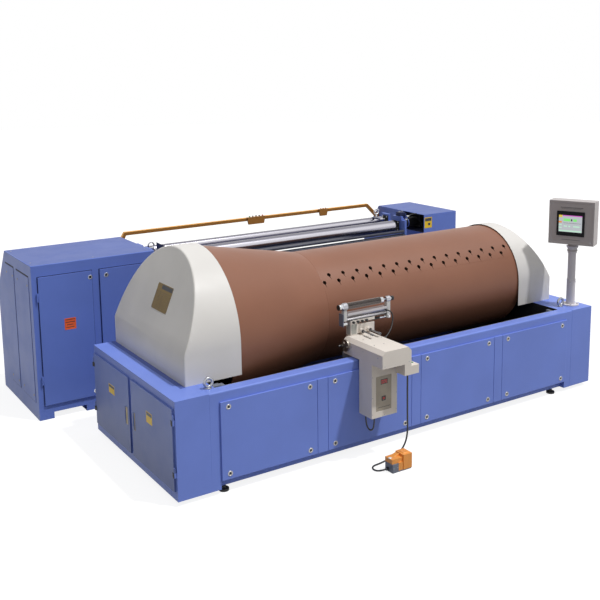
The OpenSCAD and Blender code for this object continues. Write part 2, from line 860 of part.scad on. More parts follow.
module lead_screw() color([0.7, 0.7, 0.7]) {
    from = shelf_x0 + 55;
    rod_x([from, screw_y, screw_z], screw_d, shelf_x1 - 22 - from);
}

// ---- carriage ----

module carriage_saddle() color([0.45, 0.46, 0.5]) {
    top = shelf_z + shelf_t + rail_h + seat;
    difference() {
        union() {
            block([arm_x0 + 14, y0 + 110, top], [arm_x1 - 50, y0 + 235, arm_z0]);
            block([arm_x0 + 14, y0 + 110, top - 14], [arm_x1 - 50, rail_y[0] - rail_w / 2 - seat, top]);
            block([arm_x0 + 14, rail_y[1] + rail_w / 2 + seat, top - 14], [arm_x1 - 50, y0 + 235, top]);
        }
        rod_x([arm_x0 + 14 - past, screw_y, screw_z], screw_d + 2 * run, arm_w);
    }
}

// The arm's section, with the bends of its folded cover.
module arm_section(t) {
    e = arm_edge;
    polygon([[arm_x0 + t, arm_z0 + t], [arm_x1 - t, arm_z0 + t], [arm_x1 - t, arm_z1 - e],
             [arm_x1 - e, arm_z1 - t], [arm_x0 + e, arm_z1 - t], [arm_x0 + t, arm_z1 - e]]);
}

module carriage_arm() color([0.84, 0.8, 0.76]) {
    boss_d = 34;
    boss_l = 40;
    slot_w = 9;
    difference() {
        union() {
            difference() {
                extrude_y(arm_y0, arm_y1) arm_section(0);
                extrude_y(arm_y0 + skin, arm_y1 - skin) arm_section(skin);
            }
            rod_x([arm_x0, wheel_at[1], wheel_at[2]], boss_d, boss_l);
        }
        rod_x([arm_x0 - past, wheel_at[1], wheel_at[2]], wheel_shaft_d + 2 * run, boss_l + 2 * past);
        for (at = [[car_x - 12, 5, 105], [car_x + 66, 15, 75]]) {
            block([at[0], y0 + at[1], arm_z1 - skin - past], [at[0] + slot_w, y0 + at[2], arm_z1 + past]);
        }
        block([arm_x1 - skin - past, y0 - 50, slot_z - 20],
              [arm_x1 + past, y0 + 80, slot_z]);
    }
}
module drive_housing() color([0.84, 0.8, 0.76]) {
    well_w = rocker_w + 1;
    frame_w = well_w + 10;
    frame_d = 18;
    axle_r = 2;
    difference() {
        union() {
            casing([house_x0, house_y0, house_z0], [house_x1, house_y1, arm_z0], skin);
            block([house_x0 + skin, house_y0 + skin, house_z0 + skin],
                  [house_x1 - skin, house_y0 + skin + window_t, arm_z0 - skin]);
            translate(rocker_at) block([-frame_w / 2, skin, -frame_w / 2], [frame_w / 2, frame_d, frame_w / 2]);
        }
        block([house_x0 + window_in, house_y0 - past, house_z0 + window_low],
              [house_x1 - window_in - 16, house_y0 + window_t, house_z0 + window_low + window_h]);
        translate(rocker_at) {
            block([-well_w / 2, -past, -well_w / 2], [well_w / 2, frame_d + past, well_w / 2]);
            rod_x([-well_w / 2 - 3, 8, 0], 2 * (axle_r + run), well_w + 6);
        }
    }
}

module rocker_switch() color([0.6, 0.08, 0.1]) {
    axle_r = 2;
    translate(rocker_at) translate([0, 8, 0]) {
        intersection() {
            rod_x([-rocker_w / 2, 0, 0], rocker_w, rocker_w);
            block([-rocker_w / 2, -7.5, -rocker_w / 2], [rocker_w / 2, 8, rocker_w / 2]);
        }
        rod_x([-rocker_w / 2 - 2.5, 0, 0], 2 * axle_r, rocker_w + 5);
    }
}

module switch_box() color([0.84, 0.8, 0.76]) {
    difference() {
        union() {
            block([sbox_x0, sbox_y0, sbox_z0], [sbox_x1, sbox_y1, sbox_z1]);
            block([sbox_x0, sbox_y0, sbox_z1], [arm_x1, sbox_y1, arm_z0]);
            rod_z(gland_at - [0, 0, gland_l], cord_d + 10, gland_l);
        }
        block([sbox_x0 + skin, sbox_y0 + skin, sbox_z0 + skin],
              [sbox_x1 - skin, sbox_y1 - skin, sbox_z1 - skin]);
        rod_z(button_at - [0, 0, skin + past], button_d + 2 * run, skin + 2 * past);
    }
}

module box_button() color([0.1, 0.25, 0.16]) {
    rod_z(button_at - [0, 0, 8], button_d, 16);
}

// ---- reed head ----

module reed_stand() color([0.66, 0.66, 0.64]) {
    plate_x = car_x - 23;
    top = reed_z0 - 22;
    difference() {
        union() {
            block([car_x - 93, head_y - 30, head_z0], [plate_x, head_y + 35, top]);
            block([plate_x, head_y - 25, head_z0 + 8], [car_x + 157, head_y + 5, head_z0 + 86]);
            block([car_x - 93, head_y - 30, top], [car_x + 157, head_y + 25, reed_z0]);
            for (x = clamp_x) {
                rod_y([x, head_y - 55, head_z0 + 30], 38, 35);
            }
        }
        for (x = clamp_x) {
            rod_y([x, head_y - 55 - past, head_z0 + 30], clamp_d + 2 * run, 60 + 2 * past);
        }
    }
}

// One clamping screw with its turned grip, on the y axis through its hub.
module clamp_screw(x) {
    rod_y([x, head_y - clamp_l - 2, head_z0 + 30], clamp_d, clamp_l);
    rod_y([x, head_y - clamp_l - 2, head_z0 + 30], clamp_d + 5, 22);
}

module clamp_screw_1() color([0.5, 0.5, 0.52]) clamp_screw(clamp_x[0]);

module clamp_screw_2() color([0.5, 0.5, 0.52]) clamp_screw(clamp_x[1]);

module reed_holder() color([0.75, 0.75, 0.73]) {
    left_w = 43;
    right_w = 44;
    bore = journal_d + 2 * run;
    bar_from = arm_l_x0 + left_w;
    difference() {
        union() {
            block([bar_from - 2, head_y - 15, reed_z0], [arm_r_x0 + 2, head_y + 35, reed_z1]);
            block([bar_from - 2, head_y - 22, reed_z1 - 22], [arm_r_x0 + 2, head_y + 35, reed_z1]);
            block([arm_l_x0, head_y - 22, reed_z0], [bar_from, head_y + 22, roll_z]);
            rod_x([arm_l_x0, roll_y, roll_z], 66, left_w);
            rod_x([arm_l_x0 - 40, roll_y, roll_z], 44, 41);
            block([arm_r_x0, head_y - 22, reed_z0 - 40], [arm_r_x0 + right_w, head_y + 22, roll_z]);
            rod_x([arm_r_x0, roll_y, roll_z], 50, right_w);
            rod_x([arm_r_x0 + right_w - 1, roll_y, roll_z], 26, 20);
            rod_x([arm_r_x0 + right_w + 15, roll_y, roll_z], 40, 24);
            rod_x([car_x + 157, head_y, reed_z0 - 27], 20, arm_r_x0 - car_x - 155);
        }
        rod_x([arm_l_x0 - 20, roll_y, roll_z], bore, left_w + 22);
        rod_x([arm_r_x0 - past, roll_y, roll_z], bore, right_w + past);
    }
}

module measuring_roller() color([0.28, 0.27, 0.26]) {
    collar_l = 30;
    rod_x([roll_x0, roll_y, roll_z], roller_d, roller_l);
    rod_x([roll_x1, roll_y, roll_z], roller_d - 8, collar_l);
    rod_x([arm_l_x0 - 15, roll_y, roll_z], journal_d, arm_r_x0 + 40 - arm_l_x0 + 15);
}

module hand_wheel() color([0.55, 0.54, 0.53]) {
    rim_t = 14;
    translate(wheel_at) {
        rotate([0, 90, 0]) difference() {
            translate([0, 0, -rim_t / 2]) cylinder(d = wheel_d, h = rim_t);
            for (a = [30:120:270]) {
                rotate(a) translate([wheel_d * 0.28, 0, -rim_t]) cylinder(d = wheel_d * 0.24, h = 2 * rim_t);
            }
        }
        rod_x([0, 0, 0], 32, 16 - seat);
        rod_x([0, 0, 0], wheel_shaft_d, 50);
        rod_x([-44, wheel_d * 0.38, -8], 14, 40);
    }
}

// ---- foot switch and cords ----

module foot_switch_base() color([0.4, 0.43, 0.5]) {
    block([foot_x0, foot_y0, 0], [foot_x0 + 60, foot_y0 + switch_d, foot_base_h]);
    block([foot_x0 + 60, foot_y0, 0], [foot_x0 + switch_w, foot_y0 + switch_d, 12]);
    rod_x(fgland - [fgland_l, 0, 0], cord_d + 10, fgland_l);
}

module foot_switch_guard() color([0.8, 0.53, 0.24]) {
    t = 4;
    step_x = foot_x0 + 105;
    low_h = 112;
    difference() {
        union() {
            block([foot_x0, foot_y0 + 8, foot_base_h], [step_x, foot_y0 + switch_d, low_h]);
            block([foot_x0 + 60 + seat, foot_y0, 12], [step_x, foot_y0 + switch_d, foot_base_h + 4]);
            block([step_x, foot_y0 - 6, 12], [foot_x0 + switch_w, foot_y0 + switch_d, hood_h]);
        }
        block([foot_x0 + 60 + t, foot_y0 + t, 12 - past],
              [foot_x0 + switch_w + past, foot_y0 + switch_d - t, foot_base_h - t]);
        block([step_x + t, foot_y0 - 6 + t, 12 - past],
              [foot_x0 + switch_w + past, foot_y0 + switch_d - t, hood_h - t]);
        rod_y([foot_x0 + 75, foot_y0 - past, 30], 6 + 2 * run, switch_d + 2 * past);
    }
}

module foot_treadle() color([0.16, 0.16, 0.17]) {
    at = [foot_x0 + 75, 0, 30];
    y = [foot_y0 + 6, foot_y0 + switch_d - 6];
    rod_y([at[0], foot_y0 + 1, at[2]], 6, switch_d - 2);
    rod_y([at[0], y[0], at[2]], 14, y[1] - y[0]);
    block([at[0], y[0], at[2] - 3], [foot_x0 + switch_w - 8, y[1], at[2] + 3]);
}

// The n-gon of a tube's ring at point p, square to direction d.
function unit(v) = v / norm(v);
function side_of(d) = unit(cross(d, abs(d[2]) > 0.9 ? [0, 1, 0] : [0, 0, 1]));
function ring(p, d, s, r, n) = [
    for (i = [0:n - 1]) p + r * (cos(360 * i / n) * s + sin(360 * i / n) * cross(d, s))
];

// A side vector for each point, each turned as little as possible from the last.
function carry(dirs, i, s) = let(v = unit(s - (s * dirs[i]) * dirs[i]))
    i == len(dirs) - 1 ? [v] : concat([v], carry(dirs, i + 1, v));

// A point on the smooth curve through p[i] and p[i + 1].
function along(p, i, t) = let(
    a = p[max(i - 1, 0)], b = p[i], c = p[i + 1], d = p[min(i + 2, len(p) - 1)]
) 0.5 * (2 * b + (c - a) * t + (2 * a - 5 * b + 4 * c - d) * t * t
    + (3 * b - 3 * c + d - a) * t * t * t);

// A tube of diameter d swept along the route.
module tube(route, d, cuts, sides) {
    last = len(route) - 2;
    p = [for (i = [0:last]) for (k = [0:cuts - 1]) along(route, i, k / cuts), route[last + 1]];
    n = len(p);
    dirs = [for (i = [0:n - 1]) unit(p[min(i + 1, n - 1)] - p[max(i - 1, 0)])];
    sides_at = carry(dirs, 0, side_of(dirs[0]));
    points = [for (i = [0:n - 1]) each ring(p[i], dirs[i], sides_at[i], d / 2, sides)];
    walls = [
        for (i = [0:n - 2]) for (k = [0:sides - 1])
            [i * sides + k, (i + 1) * sides + k, (i + 1) * sides + (k + 1) % sides, i * sides + (k + 1) % sides]
    ];
    ends = [[for (k = [0:sides - 1]) k], [for (k = [sides - 1:-1:0]) (n - 1) * sides + k]];
    polyhedron(points, concat(walls, ends));
}

module foot_cord() color([0.03, 0.03, 0.03]) tube(cord_route, cord_d, 2, 10);

module loop_cable() color([0.03, 0.03, 0.03]) tube(loop_route, cable_d, 1, 8);

module head_cable() color([0.03, 0.03, 0.03]) tube(head_route, cable_d, 1, 8);

// ---- operator panel ----

module control_box() color([0.5, 0.48, 0.47]) {
    t = 2;
    translate([post_at[0], post_at[1], 0]) rotate([0, 0, -box_turn]) {
        difference() {
            casing([-box_w / 2, -box_d / 2, box_z0], [box_w / 2, box_d / 2, box_z0 + box_h], t);
            block([bezel_x - bezel_w / 2 + 10, -box_d / 2 - past, box_z0 + bezel_z + 10],
                  [bezel_x + bezel_w / 2 - 10, -box_d / 2 + t + past, box_z0 + bezel_z + bezel_h - 10]);
        }
        rod_z([0, 0, box_z0 - box_gap + seat], post_d + 10, box_gap - seat);
        rod_z([0, 0, box_z0 - box_gap - 60], swivel_d, 61);
    }
}

module touch_panel() color([0.06, 0.06, 0.07]) {
    body_d = 45;
    translate([post_at[0], post_at[1], 0]) rotate([0, 0, -box_turn]) {
        block([bezel_x - bezel_w / 2, -box_d / 2 - 6, box_z0 + bezel_z],
              [bezel_x + bezel_w / 2, -box_d / 2, box_z0 + bezel_z + bezel_h]);
        block([bezel_x - bezel_w / 2 + 12, -box_d / 2, box_z0 + bezel_z + 12],
              [bezel_x + bezel_w / 2 - 12, -box_d / 2 + body_d, box_z0 + bezel_z + bezel_h - 12]);
    }
}

// ---- beaming section ----

// The side outline of a rear cabinet, drawn t inside its skin.
module cabinet_outline(t) {
    polygon([[cab_y0 + t, t], [cab_y2 - t, t], [cab_y2 - t, z0 + slope_low - t / 3],
             [cab_y1 - t / 2, cab_z1 - t], [cab_y0 + t, cab_z1 - t]]);
}

module cabinet_shell(from, to) {
    difference() {
        extrude_x(from, to) cabinet_outline(0);
        extrude_x(from + cab_sheet, to - cab_sheet) cabinet_outline(cab_sheet);
    }
}

module cab_frame_hinge(x) {
    for (z = cab_hinge_z) {
        translate([x, cab_y0 - hinge_out, z]) rotate([0, 0, 90]) fixed_hinge([0, 0, 0]);
    }
}

module left_cabinet() color([0.31, 0.39, 0.65]) {
    notch_h = 60;
    difference() {
        cabinet_shell(cab_x0, cab_x1);
        for (x = cab_door_x) {
            block([x + door_lap, cab_y0 - past, z0 + cab_door_low + door_lap],
                  [x + cab_door_w - door_lap, cab_y0 + cab_sheet + past, z0 + cab_door_high - door_lap]);
        }
        for (x = [cab_x0 + 137, cab_x0 + 600]) {
            block([x, cab_y0 - past, -past], [x + 310, cab_y2 + past, notch_h]);
        }
    }
    block([cab_x0 + cab_sheet, cab_y0 + cab_sheet, notch_h],
          [cab_x1 - cab_sheet, cab_y2 - cab_sheet, notch_h + cab_sheet]);
    cab_frame_hinge(cab_door_x[0] - hinge_off);
    cab_frame_hinge(cab_door_x[1] + cab_door_w + hinge_off);
}

// The right cabinet, with a pocket in its inner side for the beam's drive.
module right_cabinet() color([0.31, 0.39, 0.65]) {
    t = cab_sheet;
    difference() {
        union() {
            cabinet_shell(rcab_x0, rcab_x1);
            block([rcab_x0, cab_y0, recess_z0 - t], [rcab_x0 + recess_l + t, recess_y1 + t, cab_z1]);
        }
        block([rcab_x0 - past, cab_y0 + t, recess_z0], [rcab_x0 + recess_l, recess_y1, cab_z1 - t]);
    }
}

module cabinet_door_1() color([0.31, 0.39, 0.65]) {
    translate([cab_door_x[0] - hinge_off, cab_y0 - hinge_out, z0 + cab_door_low])
        rotate([0, 0, 90]) mirror([0, 1, 0]) hinged_door(cab_door_w, cab_door_high - cab_door_low, cab_hinge_at);
}

module cabinet_door_2() color([0.31, 0.39, 0.65]) {
    translate([cab_door_x[1] + cab_door_w + hinge_off, cab_y0 - hinge_out, z0 + cab_door_low])
        rotate([0, 0, 90]) hinged_door(cab_door_w, cab_door_high - cab_door_low, cab_hinge_at);
}

// The pull of an end door, at distance y from the door's hinge side.
module door_pull(y) {
    translate([hinge_out - cover_t, hinge_off + y, 305 - cover_low]) difference() {
        translate([-6, -8, 0]) cube([6, 16, 145]);
        translate([-7, -4, 30]) cube([4, 8, 85]);
    }
}

module end_door_1() color([0.3, 0.35, 0.5]) {
    translate(end_pin(false) + [0, 0, z0 + cover_low]) {
        hinged_door(end_door_w, door_high - cover_low, end_hinge_at);
        door_pull(end_door_w - 43);
    }
}

module end_door_2() color([0.3, 0.35, 0.5]) {
    translate(end_pin(true) + [0, 0, z0 + cover_low]) mirror([0, 1, 0]) {
        hinged_door(end_door_w, door_high - cover_low, end_hinge_at);
        door_pull(end_door_w - 75);
    }
}

module rear_frame() color([0.28, 0.35, 0.6]) {
    beam_z = cab_z1 - beam_low;
    beam_y = cab_y0 + beam_in;
    bore = 40 + 2 * run;
    block([cab_x1, beam_y, beam_z], [rcab_x0, beam_y + 60, beam_z + beam_h]);
    for (x = [bracket_x0, bracket_x1]) {
        difference() {
            union() {
                block([x, beam_y, beam_z], [x + bracket_t, guide_y + 80, guide_z + 70]);
                rod_x([x - (x < mid_x ? 0 : 12), press_y, press_z], 120, bracket_t + 12);
            }
            block([x - past, press_y + 110, guide_z - 160], [x + bracket_t + past, guide_y + 90, guide_z - 60]);
            rod_x([x - 20, press_y, press_z], bore, 80);
            rod_x([x - 20, guide_y, guide_z], bore, 80);
        }
    }
}

module guide_rods() color([0.14, 0.14, 0.16]) {
    from = bracket_x0 + bracket_t;
    for (at = [[-145, -100, 30], [-125, -50, 30], [-102, -95, 24]]) {
        rod_x([from, press_y + at[0], press_z + at[1]], at[2], bracket_x1 - from);
    }
}

// A roller between the two brackets, with a journal at each end.
module beam_roller(y, z, d) {
    rod_x([press_x0, y, z], d, press_x1 - press_x0);
    rod_x([bracket_x0 + 5, y, z], 40, bracket_x1 + bracket_t - bracket_x0 - 10);
    for (x = [press_x0 - 18, press_x1]) {
        rod_x([x, y, z], d * 0.7, 18);
    }
}

module press_roller() color([0.75, 0.76, 0.78]) beam_roller(press_y, press_z, press_d);

module guide_roller() color([0.72, 0.73, 0.75]) beam_roller(guide_y, guide_z, guide_d);

module button_bar() color([0.86, 0.6, 0.28]) {
    h = bar_w / 2;
    drop = 150;
    bend = 160;
    top = bar_z + h;
    extrude_y(bar_y - h, bar_y + h)
        polygon([[bar_x0, bar_z - 40], [bar_x0 + bend / 4 - 4, top], [bar_x1 - bend, top],
                 [bar_x1, bar_z - drop + h], [bar_x1, bar_z - drop - bar_w],
                 [bar_x1 - bend - 14, bar_z - h], [bar_x0 + bend / 3, bar_z - h],
                 [bar_x0 + 30, bar_z - 66], [bar_x0, bar_z - 66]]);
    block([cab_x1, bar_y - h, bar_z - 66], [bar_x0 + bend / 4, bar_y + h, bar_z - 40]);
    block([bar_x1 - 12, bar_y - 2 * h, bar_z - drop - 2 * bar_w],
          [bar_x1, bar_y + 2 * h, bar_z - drop + bar_w]);
}

// A control box that hangs from the bar, with a flat top for its buttons.
module bar_box(x, w) {
    h = bar_w / 2;
    extrude_y(bar_y - h - 22, bar_y - h)
        polygon([[x - w / 2, bar_z + h + 6], [x + w / 2, bar_z + h + 6],
                 [x + w / 2 - 18, bar_z - 58], [x - w / 2 + 18, bar_z - 58]]);
}

module button_boxes() color([0.86, 0.6, 0.28]) {
    difference() {
        union() {
            bar_box(box1_x, 235);
            bar_box(box2_x, 129);
        }
        for (i = [0:4]) {
            rod_z([box1_x + (i - 2) * push_pitch, push_y, bar_z - 10], push_d / 2 + 2 * run, 60);
        }
    }
    for (i = [0:2]) {
        rod_z([box2_x + (i - 1) * push_pitch * 0.8, push_y, bar_z + bar_w / 2 + 6], push_d * 0.8, 8);
    }
}
module push_button(i) {
    top = bar_z + bar_w / 2 + 6;
    x = box1_x + (i - 3) * push_pitch;
    rod_z([x, push_y, top + 5], push_d, 8);
    rod_z([x, push_y, top - 18], push_d / 2, 24);
}

module push_button_1() color([0.1, 0.5, 0.2]) push_button(1);
module push_button_2() color([0.1, 0.1, 0.1]) push_button(2);
module push_button_3() color([0.1, 0.1, 0.1]) push_button(3);
module push_button_4() color([0.1, 0.1, 0.1]) push_button(4);
module push_button_5() color([0.7, 0.1, 0.1]) push_button(5);

module beam_drive() color([0.1, 0.11, 0.14]) {
    y = press_y + 30;
    z = recess_z0 + 90;
    rod_x([rcab_x0 - 70, y, z], 110, recess_l + 50);
    rod_x([rcab_x0 - 110, y, z], 60, 60);
    block([rcab_x0 + 120, y - 80, recess_z0 + 20], [rcab_x0 + 240, y + 80, cab_z1 - cab_sheet]);
}

left_end_block();
right_end_block();
front_wall();
rear_wall();
frame_pan();
cover_panels();
panel_locks();
levelling_feet();
left_shroud();
right_shroud();
eye_bolts();
panel_post();
drum_bearings();
drum_motor();
drive_belt();
carriage_rails();
screw_drive();
left_cabinet();
right_cabinet();
rear_frame();
guide_rods();
button_bar();
button_boxes();
beam_drive();
end_door_1();
end_door_2();
cabinet_door_1();
cabinet_door_2();
control_box();
touch_panel();
drum_shell();
drum_core();
drum_pulley();
motor_pulley();
lead_screw();
carriage_saddle();
carriage_arm();
drive_housing();
switch_box();
rocker_switch();
box_button();
reed_stand();
reed_holder();
measuring_roller();
clamp_screw_1();
clamp_screw_2();
hand_wheel();
foot_switch_base();
foot_switch_guard();
foot_treadle();
foot_cord();
loop_cable();
head_cable();
press_roller();
guide_roller();
push_button_1();
push_button_2();
push_button_3();
push_button_4();
push_button_5();
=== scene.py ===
import json
import math

import bpy
from mathutils import Matrix, Vector

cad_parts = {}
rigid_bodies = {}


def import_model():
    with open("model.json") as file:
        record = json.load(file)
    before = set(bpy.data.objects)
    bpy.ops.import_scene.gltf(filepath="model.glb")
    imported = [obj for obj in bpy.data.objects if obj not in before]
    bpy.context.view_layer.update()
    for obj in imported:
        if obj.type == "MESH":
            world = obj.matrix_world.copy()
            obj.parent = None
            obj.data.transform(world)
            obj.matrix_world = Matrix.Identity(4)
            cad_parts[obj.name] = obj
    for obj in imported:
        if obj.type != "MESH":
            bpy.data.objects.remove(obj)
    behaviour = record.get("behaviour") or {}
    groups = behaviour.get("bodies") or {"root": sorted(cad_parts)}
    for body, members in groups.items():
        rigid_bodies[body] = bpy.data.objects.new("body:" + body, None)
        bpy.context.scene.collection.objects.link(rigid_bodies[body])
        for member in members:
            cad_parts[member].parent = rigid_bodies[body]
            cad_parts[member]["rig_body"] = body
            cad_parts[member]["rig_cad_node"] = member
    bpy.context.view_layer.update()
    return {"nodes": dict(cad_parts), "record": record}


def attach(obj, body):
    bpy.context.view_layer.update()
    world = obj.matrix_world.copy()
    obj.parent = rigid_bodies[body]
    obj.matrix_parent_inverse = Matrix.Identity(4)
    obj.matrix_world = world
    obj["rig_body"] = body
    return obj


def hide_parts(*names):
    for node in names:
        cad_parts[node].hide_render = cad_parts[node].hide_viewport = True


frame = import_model()


# --- The view ---------------------------------------------------------------
# A long lens, a little above the casing, looks along the drum from the left
# front corner. The frame is shifted down so that the uprights stay upright.
VIEW_AZIMUTH = math.radians(33.059)
VIEW_ELEVATION = math.radians(9.734)
VIEW_ROLL = math.radians(-0.68)
VIEW_PLACE = Vector((-2.9811, -5.7871, 3.2159))

forward = Vector((
    math.sin(VIEW_AZIMUTH) * math.cos(VIEW_ELEVATION),
    math.cos(VIEW_AZIMUTH) * math.cos(VIEW_ELEVATION),
    -math.sin(VIEW_ELEVATION),
))
level_right = forward.cross(Vector((0, 0, 1))).normalized()
level_up = level_right.cross(forward)
right = level_right * math.cos(VIEW_ROLL) + level_up * math.sin(VIEW_ROLL)
up = level_up * math.cos(VIEW_ROLL) - level_right * math.sin(VIEW_ROLL)
lens = bpy.data.cameras.new("view")
lens.sensor_width = 36
lens.lens = 54.308
lens.shift_x = -0.0114
lens.shift_y = -0.1371
lens.clip_end = 60
camera = bpy.data.objects.new("view", lens)
camera.matrix_world = Matrix.Translation(VIEW_PLACE) @ Matrix(
    (right, up, -forward)).transposed().to_4x4()
bpy.context.scene.collection.objects.link(camera)
bpy.context.scene.camera = camera


# --- Cords ------------------------------------------------------------------
# Three black cords in a soft rubbery sheath: the foot switch's, which hangs
# from the switch box and lies on the floor, the loop under the drive housing,
# and the sensor's, from the reed holder into the arm's side.
class Wire:
    """One output in a material's node tree, with arithmetic."""

    def __init__(self, finish, socket):
        self.finish = finish
        self.socket = socket

    def maths(self, operation, *others):
        return self.finish.node("ShaderNodeMath", [self, *others], operation=operation)

    def flipped(self, operation, other):
        return self.finish.node("ShaderNodeMath", [other, self], operation=operation)

    def __add__(self, other):
        return self.maths("ADD", other)

    __radd__ = __add__

    def __sub__(self, other):
        return self.maths("SUBTRACT", other)

    def __rsub__(self, other):
        return self.flipped("SUBTRACT", other)

    def __mul__(self, other):
        return self.maths("MULTIPLY", other)

    __rmul__ = __mul__

    def __pow__(self, other):
        return self.maths("POWER", other)

    def between(self, low, high):
        """0 below low, 1 above high, smooth between."""
        return self.finish.node("ShaderNodeMapRange", {0: self, 1: low, 2: high},
                                interpolation_type="SMOOTHSTEP")


class Finish:
    """A material in the making. What varies is linked, what doesn't is set."""

    def __init__(self, name, colour=None, roughness=0.5, metallic=0, **constants):
        self.material = bpy.data.materials.new(name)
        self.material.use_nodes = True
        self.tree = self.material.node_tree
        self.shader = self.tree.nodes["Principled BSDF"]
        if colour:
            self.set("Base Color", (*colour, 1))
        self.set("Roughness", roughness)
        self.set("Metallic", metallic)
        for key, value in constants.items():
            self.set(key.replace("_", " "), value)

    def node(self, kind, inputs=(), out=0, **settings):
        """Adds a node. Its settings come first, then its sockets."""
        node = self.tree.nodes.new(kind)
        for key, value in settings.items():
            setattr(node, key, value)
        pairs = inputs.items() if isinstance(inputs, dict) else enumerate(inputs)
        for key, value in pairs:
            self.plug(value, node.inputs[key])
        return Wire(self, node.outputs[out])

    def plug(self, value, socket):
        if isinstance(value, Wire):
            self.tree.links.new(value.socket, socket)
        else:
            socket.default_value = value

    def set(self, name, value):
        self.plug(value, self.shader.inputs[name])

    def place(self, scale=(1, 1, 1)):
        """Object coordinates in metres, stretched by scale."""
        here = self.node("ShaderNodeTexCoord", out="Object")
        return self.node("ShaderNodeMapping", {"Vector": here, "Scale": scale})

    def axis(self, name):
        here = self.node("ShaderNodeTexCoord", out="Object")
        return self.node("ShaderNodeSeparateXYZ", [here], out=name)

    def noise(self, scale, detail=3, roughness=0.5, stretch=(1, 1, 1)):
        return self.node("ShaderNodeTexNoise", {
            "Vector": self.place(stretch), "Scale": scale, "Detail": detail,
            "Roughness": roughness})

    def mix(self, low, high, factor):
        """A colour between two colours or colour wires."""
        ends = {
            key: end if isinstance(end, Wire) else (*end, 1)
            for key, end in ((6, low), (7, high))
        }
        return self.node("ShaderNodeMix", {0: factor, **ends}, out=2,
                         data_type="RGBA")

    def bump(self, height, distance):
        self.set("Normal", self.node("ShaderNodeBump", {
            "Height": height, "Distance": distance, "Strength": 1}))


def sheath(name, diameter):
    finish = Finish(name, roughness=0.5)
    grime = finish.noise(18).between(0.35, 0.75)
    finish.set("Base Color", finish.mix((0.01, 0.01, 0.011), (0.022, 0.021, 0.021), grime))
    finish.set("Roughness", 0.42 + grime * 0.2)
    finish.bump(finish.noise(1.2 / diameter), diameter * 0.02)
    return finish.material


def lay_cord(name, route, diameter, node, body):
    """A smooth cord along the route's points, in metres."""
    curve = bpy.data.curves.new(name, "CURVE")
    curve.dimensions = "3D"
    curve.bevel_depth = diameter / 2
    curve.bevel_resolution = 5
    curve.use_fill_caps = True
    curve.resolution_u = 10
    spline = curve.splines.new("BEZIER")
    spline.bezier_points.add(len(route) - 1)
    for i, (point, at) in enumerate(zip(spline.bezier_points, route)):
        here = Vector(at) / 1000
        before = Vector(route[max(i - 1, 0)]) / 1000
        after = Vector(route[min(i + 1, len(route) - 1)]) / 1000
        run = (after - before) / 6 if 0 < i < len(route) - 1 else (after - before) / 3
        point.co = here
        point.handle_left = here - run
        point.handle_right = here + run
    cord = bpy.data.objects.new(name, curve)
    bpy.context.scene.collection.objects.link(cord)
    curve.materials.append(sheath(name + "_sheath", diameter))
    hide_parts(node)
    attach(cord, body)


foot_route = [
    (1525, -335, 708), (1525, -335, 640), (1525, -335, 560), (1526, -335, 470),
    (1528, -334, 380), (1531, -332, 300), (1533, -329, 220), (1527, -323, 152),
    (1506, -317, 95), (1470, -311, 50), (1424, -307, 22), (1370, -307, 11),
    (1312, -313, 9), (1256, -324, 9), (1204, -330, 9), (1175, -338, 9),
    (1153, -358, 9), (1142, -386, 9.5), (1146, -416, 11), (1162, -440, 15),
    (1184, -453, 19.5), (1206.2, -457.7, 21.8),
]
loop_route = [
    (1238, -155, 365), (1238, -155, 335), (1239, -161, 300), (1241, -172, 272),
    (1245, -186, 256), (1249, -200, 252), (1253, -214, 257), (1256, -227, 273),
    (1257, -236, 300), (1258, -240, 335), (1258, -240, 365),
]
head_route = [
    (1658, 124.8, 1128), (1658, 108, 1128), (1668, 90, 1125), (1682, 79, 1113),
    (1690, 72, 1090), (1690, 66, 1062), (1680, 58, 1034), (1664, 46, 1008),
    (1640, 32, 982), (1612, 20, 960), (1582, 10, 941), (1550, 3, 925),
    (1528, 0, 916), (1508, 0, 914),
]
lay_cord("foot_switch_cord", foot_route, 0.014, "foot_cord", "carriage")
lay_cord("housing_loop", loop_route, 0.012, "loop_cable", "carriage")
lay_cord("sensor_lead", head_route, 0.012, "head_cable", "reed_head")


# --- Floor and light --------------------------------------------------------
# A white studio: a pale matt floor that runs into the white background, a
# ceiling that is bright overhead and fades to the walls, a soft fill from the
# front, and one clear lamp, high on the front right, with half of the light.
FLOOR_GLOW = 0.86
OVERHEAD, FILL, WALLS = 0.64, 0.22, 0.04
LAMP_WAY = Vector((0.278, -0.341, 0.898))
ground = Finish("studio_floor", (0.25, 0.25, 0.25), 0.9)
watched = ground.node("ShaderNodeLightPath", out="Is Camera Ray")
mirrored = ground.node("ShaderNodeLightPath", out="Is Glossy Ray")
clear = ground.node("ShaderNodeLightPath", out="Is Transmission Ray")
ground.set("Emission Color", (1, 1, 1, 1))
ground.set("Emission Strength", (watched + mirrored + clear) * FLOOR_GLOW)
ground.set("Specular IOR Level", 0)
bpy.ops.mesh.primitive_circle_add(vertices=64, radius=40, fill_type="NGON",
                                  location=(1.8, 1.5, 0))
floor = bpy.context.object
floor.name = "studio_floor"
floor.data.materials.append(ground.material)

